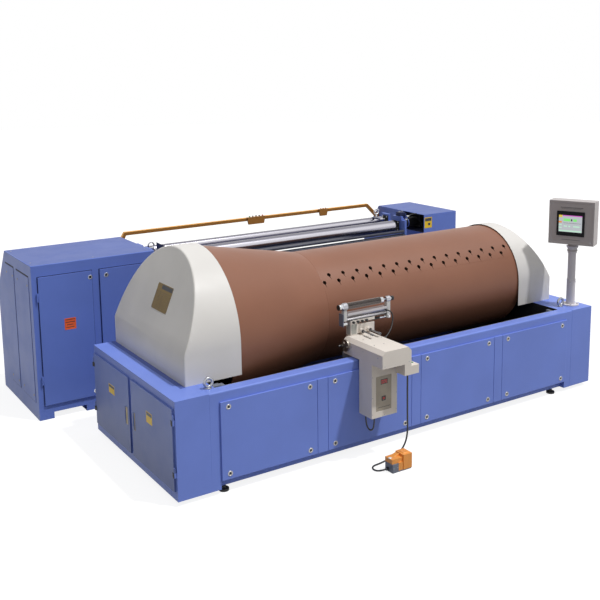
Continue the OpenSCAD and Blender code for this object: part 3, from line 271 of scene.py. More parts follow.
world = bpy.data.worlds.new("studio")
world.use_nodes = True
bpy.context.scene.world = world
ceiling = Finish.__new__(Finish)
ceiling.tree = world.node_tree
ceiling.shader = ceiling.tree.nodes["Background"]
seen = (ceiling.node("ShaderNodeLightPath", out="Is Camera Ray")
        + ceiling.node("ShaderNodeLightPath", out="Is Glossy Ray")
        + ceiling.node("ShaderNodeLightPath", out="Is Transmission Ray"))
way = ceiling.node("ShaderNodeTexCoord", out="Generated")
right, back, up = (ceiling.node("ShaderNodeSeparateXYZ", [way], out=axis) for axis in "XYZ")
front = (back * -1).maths("MAXIMUM", 0)
lit = (up.maths("MAXIMUM", 0) * (right * 0.08 + OVERHEAD)
       + front * (right * 0.5 + 1) * FILL + WALLS)
ceiling.set("Color", (1, 1, 1, 1))
ceiling.set("Strength", ceiling.node("ShaderNodeMix", {0: seen, 2: lit, 3: 1}))
bpy.context.scene.view_settings.view_transform = "Standard"

sun = bpy.data.lights.new("key", "SUN")
sun.energy = 2.15
sun.angle = math.radians(3)
key = bpy.data.objects.new("key", sun)
key.rotation_mode = "QUATERNION"
key.rotation_quaternion = LAMP_WAY.to_track_quat("Z", "Y")
bpy.context.scene.collection.objects.link(key)


# --- Finishes ---------------------------------------------------------------
# What each material slot of the record looks like: powder coats with a fine
# orange peel, brushed and turned metal, rubber and moulded plastic.
def tone(red, green, blue):
    """A display colour, 0 to 255, as linear light."""
    return tuple(
        (c / 255 / 12.92) if c < 10.3 else ((c / 255 + 0.055) / 1.055) ** 2.4
        for c in (red, green, blue)
    )


def painted(name, colour, roughness=0.42, peel=0.00006, dust=0.08, foot=1):
    """Powder coat: slight clouding, orange peel, and painted shade, darker by foot towards the
    floor.
    """
    finish = Finish(name)
    cloud = finish.noise(1.7, 4).between(0.3, 0.72)
    low = tuple(c * 0.95 for c in colour)
    high = tuple(min(1, c * 1.045) for c in colour)
    coat = finish.mix(low, high, cloud)
    if foot < 1:
        floor_shade = tuple(c * foot for c in colour)
        coat = finish.mix(floor_shade, coat, finish.axis("Z").between(0, 0.8))
    finish.set("Base Color", coat)
    smear = finish.noise(6, 5, 0.62).between(0.38, 0.75)
    finish.set("Roughness", roughness + smear * dust)
    finish.set("Specular IOR Level", 0.3)
    finish.set("Coat Weight", 0.05)
    finish.set("Coat Roughness", 0.28)
    finish.bump(finish.noise(900, 2), peel)
    return finish.material


def bare(name, colour, roughness, stretch=(1, 1, 1), grain=260, depth=0.00003):
    """Bare metal with the marks of its working stretched along one way."""
    finish = Finish(name, metallic=1)
    streak = finish.noise(grain, 4, 0.6, stretch)
    low = tuple(c * 0.84 for c in colour)
    finish.set("Base Color", finish.mix(low, colour, streak.between(0.3, 0.7)))
    finish.set("Roughness", roughness + streak * 0.14)
    finish.bump(streak, depth)
    return finish.material


def moulded(name, colour, roughness=0.4):
    """Plastic or rubber with a fine grain and slight wear."""
    finish = Finish(name)
    worn = finish.noise(9, 4).between(0.42, 0.78)
    low = tuple(c * 0.9 for c in colour)
    high = tuple(min(1, c * 1.12) for c in colour)
    finish.set("Base Color", finish.mix(low, high, worn))
    finish.set("Roughness", roughness + worn * 0.1)
    finish.bump(finish.noise(700, 2), 0.00004)
    return finish.material


finishes = {
    "casing_blue": painted("casing_paint", tone(117, 140, 220)),
    "cabinet_blue": painted("cabinet_paint", tone(101, 125, 203)),
    "shroud_white": painted("shroud_paint", tone(224, 221, 217), 0.4),
    "drum_brown": painted("drum_enamel", tone(142, 96, 75), 0.46, 0.00003, 0.05),
    "carriage_cream": painted("carriage_paint", tone(229, 221, 212), 0.42),
    "panel_grey": painted("panel_paint", tone(186, 179, 178), 0.42),
    "machinery_grey": painted("machinery_paint", tone(112, 118, 132), 0.42),
    "bar_orange": painted("bar_paint", tone(240, 176, 88), 0.4),
    "steel": bare("turned_steel", tone(176, 178, 184), 0.26, (0.04, 1, 1)),
    "chrome": bare("chrome_plate", tone(214, 216, 220), 0.1, (0.05, 1, 1), 120, 0.00001),
    "aluminium": bare("drawn_aluminium", tone(208, 208, 206), 0.34, (0.03, 1, 1)),
    "cast_iron": painted("iron_casting", tone(70, 72, 76), 0.58, 0.0004),
    "rubber": moulded("black_rubber", tone(30, 30, 31), 0.66),
    "cord_black": moulded("black_sheath", tone(24, 24, 25), 0.5),
    "guard_orange": moulded("guard_plastic", tone(240, 158, 72), 0.4),
    "screen": moulded("bezel_plastic", tone(31, 32, 35), 0.3),
    "button_dark": moulded("dark_button", tone(32, 32, 34), 0.28),
    "button_green": moulded("green_button", tone(40, 140, 74), 0.28),
    "button_red": moulded("red_button", tone(188, 36, 34), 0.28),
}


def retouched(material, socket, value):
    """Sets one plain value of a finish."""
    material.node_tree.nodes["Principled BSDF"].inputs[socket].default_value = value


retouched(finishes["screen"], "Specular IOR Level", 0.1)
for part in frame["record"]["subparts"]:
    mesh = frame["nodes"][part["node"]].data
    mesh.materials.clear()
    mesh.materials.append(finishes[part["material_slot"]])


# --- Casing -----------------------------------------------------------------
# Folded 4 mm sheet over a welded frame: two end blocks, a long wall at the
# front and back, and the pan and cross members between. The folds and the
# ground welds leave rounded edges. The pan's inside is painted near black:
# painted shade for the deep well.
MERGED = 0.00002
FLAT = math.radians(0.6)
SOFT = math.radians(40)


def chosen(piece):
    bpy.ops.object.select_all(action="DESELECT")
    bpy.context.view_layer.objects.active = piece
    piece.select_set(True)
    return piece


def modified(piece, kind, **settings):
    """Adds a modifier, gives it its settings and applies it."""
    chosen(piece)
    step = piece.modifiers.new("step", kind)
    for key, value in settings.items():
        setattr(step, key, value)
    bpy.ops.object.modifier_apply(modifier="step")
    return piece


def rounded(piece, width, steps=2, angle=30):
    """Rounds the edges sharper than angle, and shades the flats as flats."""
    if width:
        modified(piece, "BEVEL", width=width, segments=steps, limit_method="ANGLE",
                 angle_limit=math.radians(angle), miter_outer="MITER_ARC")
    chosen(piece)
    bpy.ops.object.shade_smooth_by_angle(angle=SOFT)
    return modified(piece, "WEIGHTED_NORMAL", keep_sharp=True)


def mode(name):
    bpy.ops.object.mode_set(mode=name)


def copied(name, node):
    """The CAD node's mesh as one clean mesh, with whole faces."""
    piece = frame["nodes"][node].copy()
    piece.data = piece.data.copy()
    piece.parent = None
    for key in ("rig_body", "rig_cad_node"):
        del piece[key]
    bpy.context.scene.collection.objects.link(piece)
    chosen(piece)
    piece.name = name
    mode("EDIT")
    bpy.ops.mesh.select_all(action="SELECT")
    bpy.ops.mesh.remove_doubles(threshold=MERGED)
    bpy.ops.mesh.dissolve_limited(angle_limit=FLAT)
    mode("OBJECT")
    return piece


def placed(piece, body, slot, *nodes):
    """Puts the piece on its body, in its slot, and in place of the nodes."""
    if nodes:
        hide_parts(*nodes)
    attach(piece, body)
    if not piece.data.materials:
        piece.data.materials.append(finishes[slot])
    return piece


# Near-black paint: the real black of the bearing flanges and the beam's drive, and painted shade
# inside the pan, on the drum's bearings and in the vents.
dark_primer = painted("dark_primer", tone(26, 27, 30), 0.7)
for name, edge in (
    ("left_end_block", 0.004), ("right_end_block", 0.004), ("front_wall", 0.0015),
    ("rear_wall", 0.0015),
):
    placed(rounded(copied(name + "_sheet", name), edge), "root", "casing_blue", name)
pan = copied("pan_and_members", "frame_pan")
pan.data.materials.append(dark_primer)
for face in pan.data.polygons:
    if face.center.z < 0.7:
        face.material_index = 1
placed(rounded(pan, 0.003), "root", "casing_blue", "frame_pan")
# The drum's bearings are painted near black: painted shade in the gap under the shrouds.
frame["nodes"]["drum_bearings"].data.materials[0] = dark_primer


# --- Cover panels and locks -------------------------------------------------
# Four lift-off covers of folded sheet on the front and two on the right end.
# Each front one is held by four quarter turn locks: a bright pressed ring
# round a black slotted core.
UP, FRONT, LEFT, RIGHT = (0, 0, 1), (0, -1, 0), (-1, 0, 0), (1, 0, 0)


def closed():
    """Turns the edited solid's faces outwards and settles it in its place."""
    bpy.ops.mesh.select_all(action="SELECT")
    bpy.ops.mesh.normals_make_consistent(inside=False)
    mode("OBJECT")
    bpy.ops.object.transform_apply()


def turned(name, at, along, profile, sides=32):
    """A disc drawn out through each radius and height, in millimetres."""
    turn = Vector((0, 0, 1)).rotation_difference(Vector(along))
    profile = [(wide / 1000, high / 1000) for wide, high in profile]
    radius, height = profile[0]
    bpy.ops.mesh.primitive_circle_add(
        vertices=sides, radius=radius, fill_type="NGON",
        location=Vector(at) + turn @ Vector((0, 0, height)), rotation=turn.to_euler())
    piece = bpy.context.object
    piece.name = name
    mode("EDIT")
    bpy.ops.mesh.select_all(action="SELECT")
    for wide, high in profile[1:]:
        bpy.ops.mesh.extrude_region_move(
            TRANSFORM_OT_translate={"value": turn @ Vector((0, 0, high - height))})
        bpy.ops.transform.resize(
            value=(wide / radius,) * 3,
            center_override=Vector(at) + turn @ Vector((0, 0, high)))
        radius, height = wide, high
    closed()
    return rounded(piece, 0)


def slab(name, low, high, edge=0.001, steps=2):
    """A plate or block between two corners, with its edges rounded."""
    low, high = Vector(low), Vector(high)
    bpy.ops.mesh.primitive_cube_add(size=1, location=(low + high) / 2, scale=high - low)
    piece = bpy.context.object
    piece.name = name
    bpy.ops.object.transform_apply()
    return rounded(piece, edge, steps)


def coated(piece, look):
    """Gives the piece one finish, by its slot's name or as a material."""
    piece.data.materials.clear()
    piece.data.materials.append(finishes.get(look, look))
    return piece


def coats(look, *pieces):
    return [coated(piece, look) for piece in pieces]


def joined(name, pieces):
    chosen(pieces[0])
    for piece in pieces:
        piece.select_set(True)
    bpy.ops.object.join()
    pieces[0].name = name
    pieces[0].data.name = name
    return pieces[0]


placed(rounded(copied("cover_sheets", "cover_panels"), 0.003), "root", "casing_blue",
       "cover_panels")


def lock(at, metal, gap):
    """A ring and its slotted core, which meet at the radius gap."""
    ring = turned("ring", at, FRONT, [
        (21.5, 0), (21.5, 1), (19.5, 3), (12.5, 3), (10.8, 1.2), (gap, 1.2)], 40)
    core = turned("core", at, FRONT, [
        (gap, 0.6), (10, 2.2), (9, 2.6), (4, 2.6), (3.6, 1.2)], 28)
    return [coated(ring, metal), coated(core, "button_dark")]


lock_metal = bare("pressed_zinc", tone(176, 174, 172), 0.32)
COVER_PITCH, COVER_WIDTH, LOCK_INSET = 0.97025, 0.86525, 0.068
locks = []
for cover in range(4):
    for side in (LOCK_INSET, COVER_WIDTH - LOCK_INSET):
        for height in (0.158, 0.689):
            at = (-0.048 + COVER_PITCH * cover + side, -0.075, height)
            locks += lock(at, lock_metal, 10.4)
placed(joined("cover_locks", locks), "root", "chrome", "panel_locks")


# --- End doors --------------------------------------------------------------
# Two pan doors of folded sheet on the left end. Each has a pale recessed pull
# near its free edge, two black hinges on its outer edge and a yellow label,
# which is bare but for its dark head.
def picked(piece, wanted):
    """Selects the faces that wanted() names and stays in edit mode."""
    chosen(piece)
    mode("EDIT")
    bpy.ops.mesh.select_mode(type="FACE")
    bpy.ops.mesh.select_all(action="DESELECT")
    mode("OBJECT")
    for face in piece.data.polygons:
        face.select = wanted(face)
    mode("EDIT")


# The doors' paint darkens towards the floor: painted shade.
door_paint = painted("door_paint", tone(112, 132, 200), foot=0.6)
label_yellow = moulded("label_yellow", tone(250, 206, 34), 0.45)
label_dark = moulded("label_head", tone(34, 40, 56), 0.45)
pull_beige = moulded("pull_beige", tone(216, 200, 158), 0.4)
for name, node, body, pull, label in (
    ("front", "end_door_1", "front_end_door", 0.69, (0.331, 0.443, 0.501, 0.592)),
    ("back", "end_door_2", "back_end_door", 0.84, (1.1, 1.226, 0.503, 0.58)),
):
    door = rounded(copied(name + "_end_door", node), 0.002)
    placed(coated(door, door_paint), body, "casing_blue", node)
    low_y, high_y, low_z, high_z = label
    sheet = slab("sheet", (-0.4256, low_y, low_z), (-0.4248, high_y, high_z), 0.0003)
    split = low_z + (high_z - low_z) * 0.66
    head = slab("head", (-0.4258, low_y + 0.006, split),
                (-0.4252, high_y - 0.006, high_z - 0.006), 0.0002)
    label = [coated(sheet, label_yellow), coated(head, label_dark)]
    placed(joined(name + "_door_label", label), body, "button_dark")
    cup = slab("cup", (-0.4275, pull - 0.016, 0.345), (-0.4245, pull + 0.016, 0.49), 0.0012, 3)
    picked(cup, lambda face: face.center.x < -0.42749)
    bpy.ops.mesh.inset(thickness=0.004)
    bpy.ops.mesh.inset(thickness=0.001, depth=-0.0022)
    mode("OBJECT")
    placed(coated(rounded(cup, 0), pull_beige), body, "carriage_cream")

hinge_black = moulded("hinge_black", tone(26, 26, 28), 0.42)
for name, body, side, y in (("front", "front_end_door", -1, -0.04),
                            ("back", "back_end_door", 1, 1.57)):
    barrels = []
    for low in (0.227, 0.63):
        barrel = turned("barrel", (-0.428, y, low), UP, [
            (6, 0), (7.8, 1.5), (7.8, 38.5), (6, 40)], 24)
        wing = slab("wing", (-0.4285, min(y, y - side * 0.026), low + 0.003),
                    (-0.4245, max(y, y - side * 0.026), low + 0.037), 0.001)
        barrels += [coated(barrel, hinge_black), coated(wing, hinge_black)]
    placed(joined(name + "_door_hinges", barrels), body, "button_dark")


# --- Shrouds ----------------------------------------------------------------
# Two covers of 5 mm sheet over the drum's ends: a rolled arch welded to an
# inclined face, with the weld ground to a soft edge. The left one carries a
# brass plate with blank ruled fields, held by four rivets.
def eased(piece, wanted, width, above=0):
    """Rounds the outline of the faces that wanted() names, above a height."""
    picked(piece, wanted)
    bpy.ops.mesh.region_to_loop()
    mode("OBJECT")
    for edge in piece.data.edges:
        if all(piece.data.vertices[end].co.z < above for end in edge.vertices):
            edge.select = False
    mode("EDIT")
    bpy.ops.mesh.bevel(offset=width, segments=4, affect="EDGES", clamp_overlap=False)
    mode("OBJECT")
    return piece


def moved(piece, at, turn=(0, 0, 0)):
    chosen(piece)
    piece.rotation_euler = turn
    piece.location = at
    bpy.ops.object.transform_apply()
    return piece


for name, side in (("left_shroud", 1), ("right_shroud", -1)):
    cover = copied(name + "_cover", name)
    eased(cover, lambda face: face.normal.x * side < -0.5, 0.011, 0.816)
    placed(rounded(cover, 0), "root", "shroud_white", name)

# A darker blue strip along the left shroud's foot: painted shade where shroud and block top meet.
strip = slab("strip", (-0.258, 0.162, 0.8145), (-0.214, 1.586, 0.8158), 0.0004)
placed(coated(strip, painted("strip_paint", tone(78, 96, 168))), "root", "casing_blue")
brass = bare("stamped_brass", tone(122, 104, 70), 0.5, (1, 1, 1), 40)
ink = moulded("plate_ink", tone(46, 48, 52), 0.5)
plate = coats(brass, slab("plate", (-0.108, -0.1425, 0), (0.108, 0.1425, 0.0012), 0.0005))
plate += coats(ink, slab("head", (0.066, -0.135, 0.001), (0.1, 0.06, 0.0014), 0.0002))
for row in range(10):
    low = -0.1 + 0.0155 * row
    plate += coats(ink, slab("rule", (low, -0.135, 0.001), (low + 0.0016, 0.135, 0.0014), 0))
for y in (-0.135, 0.004, 0.06, 0.1334):
    plate += coats(ink, slab("rule", (-0.1, y, 0.001), (0.034, y + 0.0016, 0.0014), 0))
for x in (-0.103, 0.103):
    for y in (-0.137, 0.137):
        plate += coats("steel", turned(
            "rivet", (x, y, 0.001), UP, [(3.2, 0), (3, 1.2), (1.8, 2)], 16))
lean = math.atan2(0.7, 0.288)
plate = moved(joined("shroud_plate", plate), (
    -0.215 + 0.33 * math.cos(lean), 0.8125, 1.047 + 0.33 * math.sin(lean)), (0, -lean, 0))
placed(plate, "root", "aluminium")


# --- Drum -------------------------------------------------------------------
# A welded and turned steel skin, a cone at the foot and then a cylinder, in a
# brown enamel. Two rows of holes for the section pins are countersunk, each
# with a filed lead towards the front. It stands on spiders on a hollow shaft.
def carved(piece, cutter):
    modified(piece, "BOOLEAN", solver="EXACT", material_mode="TRANSFER", object=cutter)
    bpy.data.objects.remove(cutter)
    return piece


def raised(disc, rise):
    """Draws a flat disc out into a solid."""
    chosen(disc)
    mode("EDIT")
    bpy.ops.mesh.select_all(action="SELECT")
    bpy.ops.mesh.extrude_region_move(TRANSFORM_OT_translate={"value": rise})
    closed()
    return disc


FOOT_RADIUS, RADIUS, CONE = 0.6885, 0.5, 1.016
PINS, PIN_PITCH = 15, 0.15
axis = (0.23, 0.874, 1.047)
skin = turned("drum_skin", axis, RIGHT, [
    (688.5, 0), (500, 1016), (501.4, 1018), (501.4, 1032), (500, 1034),
    (500, 3318)], 192)
picked(skin, lambda face: len(face.vertices) > 4)
bpy.ops.mesh.delete(type="ONLY_FACE")
mode("OBJECT")
coated(modified(skin, "SOLIDIFY", thickness=0.006, offset=-1), "drum_brown")
retouched(finishes["drum_brown"], "Coat Weight", 0.1)
# The sinks' walls are near black: painted shade inside the holes.
hole_shade = Finish("hole_dark", (0.006, 0.004, 0.003), 0.9, Specular_IOR_Level=0).material
sinks, bores = [], []
for start, lean in ((1.27, 52.7), (1.345, 45)):
    tilt = math.radians(lean)
    out = Vector((0, -math.sin(tilt), math.cos(tilt)))
    for hole in range(PINS):
        at = Vector((start + PIN_PITCH * hole, axis[1], axis[2]))
        bores.append(turned("bore", at + out * 0.485, out, [(9, 0), (9, 30)], 24))
        bpy.ops.mesh.primitive_circle_add(vertices=24, radius=0.0175, fill_type="NGON",
                                          location=at + out * 0.4965, rotation=(tilt, 0, 0))
        sink = bpy.context.object
        lead = min(sink.data.vertices, key=lambda corner: corner.co.y - corner.co.x * 0.1)
        lead.co += Vector((0.009, -0.034, 0))
        sinks.append(coated(raised(sink, out * 0.012), hole_shade))
rounded(skin, 0)
bpy.ops.object.duplicate()
whole = bpy.context.object
carved(skin, joined("sinks", sinks))
carved(skin, joined("bores", bores))
rounded(skin, 0)
outer = skin.vertex_groups.new(name="outer")
for corner in skin.data.vertices:
    x, y, z = corner.co - Vector(axis)
    outside = max(FOOT_RADIUS - x * (FOOT_RADIUS - RADIUS) / CONE, RADIUS)
    if math.hypot(y, z) > outside - 0.002:
        outer.add([corner.index], 1, "REPLACE")
modified(skin, "DATA_TRANSFER", object=whole, use_loop_data=True, vertex_group="outer",
         data_types_loops={"CUSTOM_NORMAL"}, loop_mapping="NEAREST_POLYNOR")
bpy.data.objects.remove(whole)
placed(skin, "drum", "drum_brown", "drum_shell")
for node, body, slot in (
    ("drum_pulley", "drum", "cast_iron"), ("motor_pulley", "motor_shaft", "cast_iron"),
    ("drum_motor", "root", "machinery_grey"), ("carriage_rails", "root", "machinery_grey"),
    ("screw_drive", "root", "machinery_grey"), ("carriage_saddle", "carriage", "machinery_grey"),
):
    placed(rounded(copied(node + "_cast", node), 0.0015, 2), body, slot, node)
caps = []
for x in (0.105, 3.755):
    for y in (0.874 - 0.12, 0.874 + 0.12):
        caps.append(turned("bolt", (x, y, 0.845), UP, [
            (15, 0), (15, 2.5), (10.5, 2.6), (10.5, 11), (9, 12)], 6))
placed(joined("bearing_bolts", caps), "root", "steel")


# --- Lifting eyes and operator panel ----------------------------------------
# Four forged ring eyes stand on the casing. The panel's box of bent sheet
# turns on a round post: a frame round a sunk front, and a black screen unit
# with a lit page of blank fields.
def forged_ring(at, wide, thick, around, across):
    """An upright ring, across the y axis."""
    bpy.ops.mesh.primitive_torus_add(
        location=at, rotation=(math.pi / 2, 0, 0), major_radius=wide, minor_radius=thick,
        major_segments=around, minor_segments=across)
    bpy.ops.object.transform_apply()
    return rounded(bpy.context.object, 0)


eyes = []
for x in (-0.08, 3.825):
    for y in ((0.05, 1.48) if x < 0 else (0.105, 1.425)):
        eyes.append(turned("foot", (x, y, 0.815), UP, [
            (25, 0), (25.5, 5), (23.5, 8), (16.5, 8.6), (15, 12), (15, 17)]))
        eyes.append(forged_ring((x, y, 0.815 + 0.0475), 0.0335, 0.0112, 48, 16))
placed(joined("ring_eyes", eyes), "root", "steel", "eye_bolts")

post = rounded(copied("post_tube", "panel_post"), 0.0014)
post_paint = painted("post_paint", tone(216, 212, 216), 0.42)
coated(post, post_paint)
STAND = (3.96, 0.097)
ring = turned("ring", (*STAND, 1.07), UP, [(38.5, 0), (43.5, 0.8), (43.5, 6), (38.5, 7)], 48)
post = [post, coated(ring, post_paint)]
for angle in (-150, -60):
    way = Vector((math.cos(math.radians(angle)), math.sin(math.radians(angle)), 0))
    post.append(coated(turned("screw", Vector((*STAND, 1.052)) + way * 0.0415, way, [
        (6, 0), (6, 3), (4.5, 4.2), (2.2, 4.2), (2, 2.4)], 20), "steel"))
placed(joined("panel_post_tube", post), "root", "panel_grey", "panel_post")


def on_panel(piece):
    """Moves a piece made over the origin to the post, facing the operator."""
    return moved(piece, (*STAND, 0), (0, 0, math.radians(-65)))


case = slab("case", (-0.22, -0.075, 1.433), (0.22, 0.075, 1.863), 0)
picked(case, lambda face: face.normal.y < -0.9)
bpy.ops.mesh.inset(thickness=0.02)
bpy.ops.mesh.inset(thickness=0.0005, depth=-0.005)
mode("OBJECT")
case = [coated(rounded(case, 0.0035, 3, 50), "panel_grey")]
for low, height, wide in ((1.372, 61, 43), (1.36, 12, 50)):
    case += coats("panel_grey", turned("collar", (0, 0, low), UP, [(wide, 0), (wide, height)], 48))
for x in (-0.188, 0.188):
    for z in (1.465, 1.831):
        case += coats("steel", turned(
            "screw", (x, -0.07, z), FRONT, [(5, 0), (4.8, 2.2), (2.4, 3)], 16))
for low, high, wide in ((1.795, 1.799, 0.11), (1.785, 1.787, 0.1), (1.478, 1.481, 0.09)):
    case.append(coated(slab("rule", (-wide, -0.0712, low), (wide, -0.0698, high), 0), ink))
placed(on_panel(joined("panel_case", case)), "operator_panel", "panel_grey", "control_box")

bezel = slab("bezel", (-0.1406, -0.081, 1.519), (0.1274, -0.03, 1.76), 0.0025, 3)
unit = [coated(bezel, "screen")]


def lit(name, red, green, blue):
    page = Finish(name, (0.02, 0.02, 0.02), 0.25)
    dim, bright = (tuple(c * share for c in tone(red, green, blue)) for share in (0.88, 0.94))
    page.set("Emission Color", page.mix(dim, bright, page.noise(180, 2).between(0.2, 0.8)))
    page.set("Emission Strength", 1)
    return page.material


page_grey = lit("page_grey", 186, 191, 196)
page_green = lit("page_green", 130, 236, 120)
page_pale = lit("page_pale", 190, 232, 206)
left, top, wide, high = -0.1192, 1.7225, 0.2251, 0.164
for x0, x1, z0, z1, lift, page in (
    (0, 1, 0, 1, 0, page_grey), (0.16, 1, 0, 0.06, 1, lit("page_magenta", 206, 96, 196)),
    (0, 0.15, 0, 0.14, 1, lit("page_yellow", 226, 196, 60)),
    (0, 0.13, 0.37, 0.47, 1, lit("page_orange", 230, 140, 40)),
    (0, 0.13, 0.55, 0.62, 1, page_pale), (0, 0.13, 0.72, 0.79, 1, page_pale),
    (0.2, 0.5, 0.2, 0.36, 1, page_green), (0.62, 0.77, 0.2, 0.36, 1, page_green),
    (0.52, 0.58, 0.22, 0.34, 1, ink), (0.42, 0.5, 0.62, 0.7, 1, page_pale),
    (0.2, 0.96, 0.46, 0.475, 1, ink), (0.02, 0.98, 0.9, 0.98, 1, page_pale),
    (0.22, 0.36, 0.62, 0.7, 1, page_pale), (0.62, 0.9, 0.62, 0.7, 1, page_pale),
):
    field = slab("field", (left + wide * x0, -0.0812 - 0.0003 * lift, top - high * z1),
                 (left + wide * x1, -0.0805, top - high * z0), 0)
    unit.append(coated(field, page))
placed(on_panel(joined("screen_unit", unit)), "operator_panel", "screen", "touch_panel")


# --- Carriage ---------------------------------------------------------------
# Two boxes of cream powder-coated sheet: the arm, which reaches in over the
# wall, and the drive housing that hangs from it, with an olive switch plate
# under glass. A small switch box with the foot switch's gland hangs beside it.
def fixing(at, way, size=4.5):
    """A small pan head screw with a socket."""
    return coated(turned("screw", at, way, [
        (size, 0), (size * 0.95, size * 0.36), (size * 0.45, size * 0.42),
        (size * 0.42, size * 0.1)], 16), "steel")


cover = [coated(rounded(copied("arm", "carriage_arm"), 0.0024, 3), "carriage_cream")]
for x, y in ((1.38, -0.208), (1.287, -0.202), (1.305, -0.028), (1.47, -0.06)):
    cover.append(fixing((x, y, 0.964), UP))
for y in (-0.134, -0.33, 0.02):
    cover.append(fixing((1.226, y, 0.903), LEFT))
for x in (1.25, 1.496):
    cover.append(fixing((x, -0.39, 0.842), FRONT, 3.6))
placed(joined("arm_cover", cover), "carriage", "carriage_cream", "carriage_arm")

cover = [coated(rounded(copied("housing", "drive_housing"), 0.002, 3), "carriage_cream")]
olive = moulded("plate_olive", tone(168, 158, 142), 0.35)
glass = moulded("display_glass", tone(40, 20, 20), 0.12)
digit = lit("digit_red", 214, 40, 34)
cover += coats(olive, slab("plate", (1.2695, -0.2484, 0.4175), (1.4265, -0.2466, 0.7115), 0.0004))
cover += coats(glass, slab("glass", (1.319, -0.2494, 0.64), (1.389, -0.248, 0.683), 0.0006))
for place in range(3):
    left = 1.3255 + 0.0205 * place
    for x0, x1, z0, z1 in ((0.002, 0.012, 0, 0.002), (0.002, 0.012, 0.025, 0.027),
                           (0, 0.002, 0.002, 0.0125), (0, 0.002, 0.0145, 0.025),
                           (0.012, 0.014, 0.002, 0.0125), (0.012, 0.014, 0.0145, 0.025)):
        cover += coats(digit, slab("segment", (left + x0, -0.2497, 0.648 + z0),
                                   (left + x1, -0.249, 0.648 + z1), 0))
for mark in range(9):
    left = 1.29 + 0.0145 * mark
    cover += coats(ink, slab("mark", (left, -0.2488, 0.444), (left + 0.0095, -0.248, 0.45), 0))
frame_ring = slab("frame", (1.329, -0.253, 0.501), (1.367, -0.247, 0.539), 0.0012)
hole = slab("hole", (1.3355, -0.26, 0.5075), (1.3605, -0.24, 0.5325), 0)
cover.append(coated(carved(frame_ring, hole), "button_dark"))
for x, z in ((1.2345, 0.714), (1.2345, 0.542), (1.478, 0.713), (1.478, 0.544),
             (1.354, 0.378), (1.2345, 0.4), (1.478, 0.4)):
    cover.append(fixing((x, -0.25, z), FRONT, 3.8))
placed(joined("housing_cover", cover), "carriage", "carriage_cream", "drive_housing")
placed(rounded(copied("rocker", "rocker_switch"), 0.001), "housing_switch", "button_red",
       "rocker_switch")

box = [coated(rounded(copied("box", "switch_box"), 0.0018, 3), "carriage_cream")]
box.append(coated(turned("collar", (1.57, -0.3335, 0.8), UP, [
    (15, 0), (15, 1.5), (13.2, 3), (11.2, 3)]), "chrome"))
box.append(coated(turned("nut", (1.525, -0.335, 0.7262), (0, 0, -1), [
    (13, 0), (13, 8), (11.2, 9.2), (9.8, 9.2), (9.8, 16), (7.6, 18.4)], 24), "button_dark"))
box += [fixing((1.6, -0.345, z), RIGHT, 3.4) for z in (0.738, 0.788)]
placed(joined("switch_box_cover", box), "carriage", "carriage_cream", "switch_box")
placed(rounded(copied("green_button", "box_button"), 0.0014, 3), "carriage_button",
       "button_green", "box_button")

wheel_metal = bare("wheel_metal", tone(172, 164, 156), 0.34)
wheel = [coated(rounded(copied("wheel", "hand_wheel"), 0.0022, 3), wheel_metal)]
wheel.append(coated(turned("grip", (1.2, 0.126, 0.894), LEFT, [
    (7, 0), (9.2, 4), (10, 18), (8.8, 30), (5, 35)], 24), "button_dark"))
placed(joined("traverse_hand_wheel", wheel), "traverse_wheel", "chrome", "hand_wheel")


# --- Reed head --------------------------------------------------------------
# A cast stand on the arm carries the reed's aluminium bar between two pale
# arms with machined heads. Over it turns the fluted measuring roller, in a
# bright bearing with a black seal on the left, and with a black knob on the right.
stand = [coated(rounded(copied("stand", "reed_stand"), 0.003, 3), "carriage_cream")]
column = slab("column", (1.278, 0.1085, 0.964), (1.35, 0.175, 1.069), 0.016, 5)
stand.append(coated(column, painted("stand_grey", tone(172, 172, 166), 0.42)))
for x in (1.388, 1.465):
    stand.append(coated(turned("hub", (x, 0.12, 0.9943), FRONT, [
        (19.5, 0), (19.5, 31), (17.5, 35), (13, 35)]), "carriage_cream"))
    stand.append(coated(turned("ring", (x, 0.12, 0.9943), FRONT, [
        (12.8, 34), (12.8, 40), (11, 41.5), (9, 41.5)]), "button_dark"))
for x in (1.3, 1.345, 1.39, 1.435):
    stand.append(coated(turned("knob", (x, 0.1105, 1.08), FRONT, [
        (6, 0), (6, 9), (10.5, 10), (11.5, 13), (11.5, 23), (9.5, 26)], 20), "button_dark"))
placed(joined("stand_casting", stand), "reed_head", "carriage_cream", "reed_stand")
for number, side in ((1, "left"), (2, "right")):
    x = (1.388, 1.465)[number - 1]
    screw = [coated(rounded(copied("screw", f"clamp_screw_{number}"), 0.0006), "steel")]
    screw.append(coated(turned("end", (x, -0.0525, 0.9943), FRONT, [
        (6, -30), (7.8, -28), (7.8, -1), (6, 1)], 20), "button_dark"))
    placed(joined(f"{side}_clamping_screw", screw), f"{side}_clamp", "steel",
           f"clamp_screw_{number}")

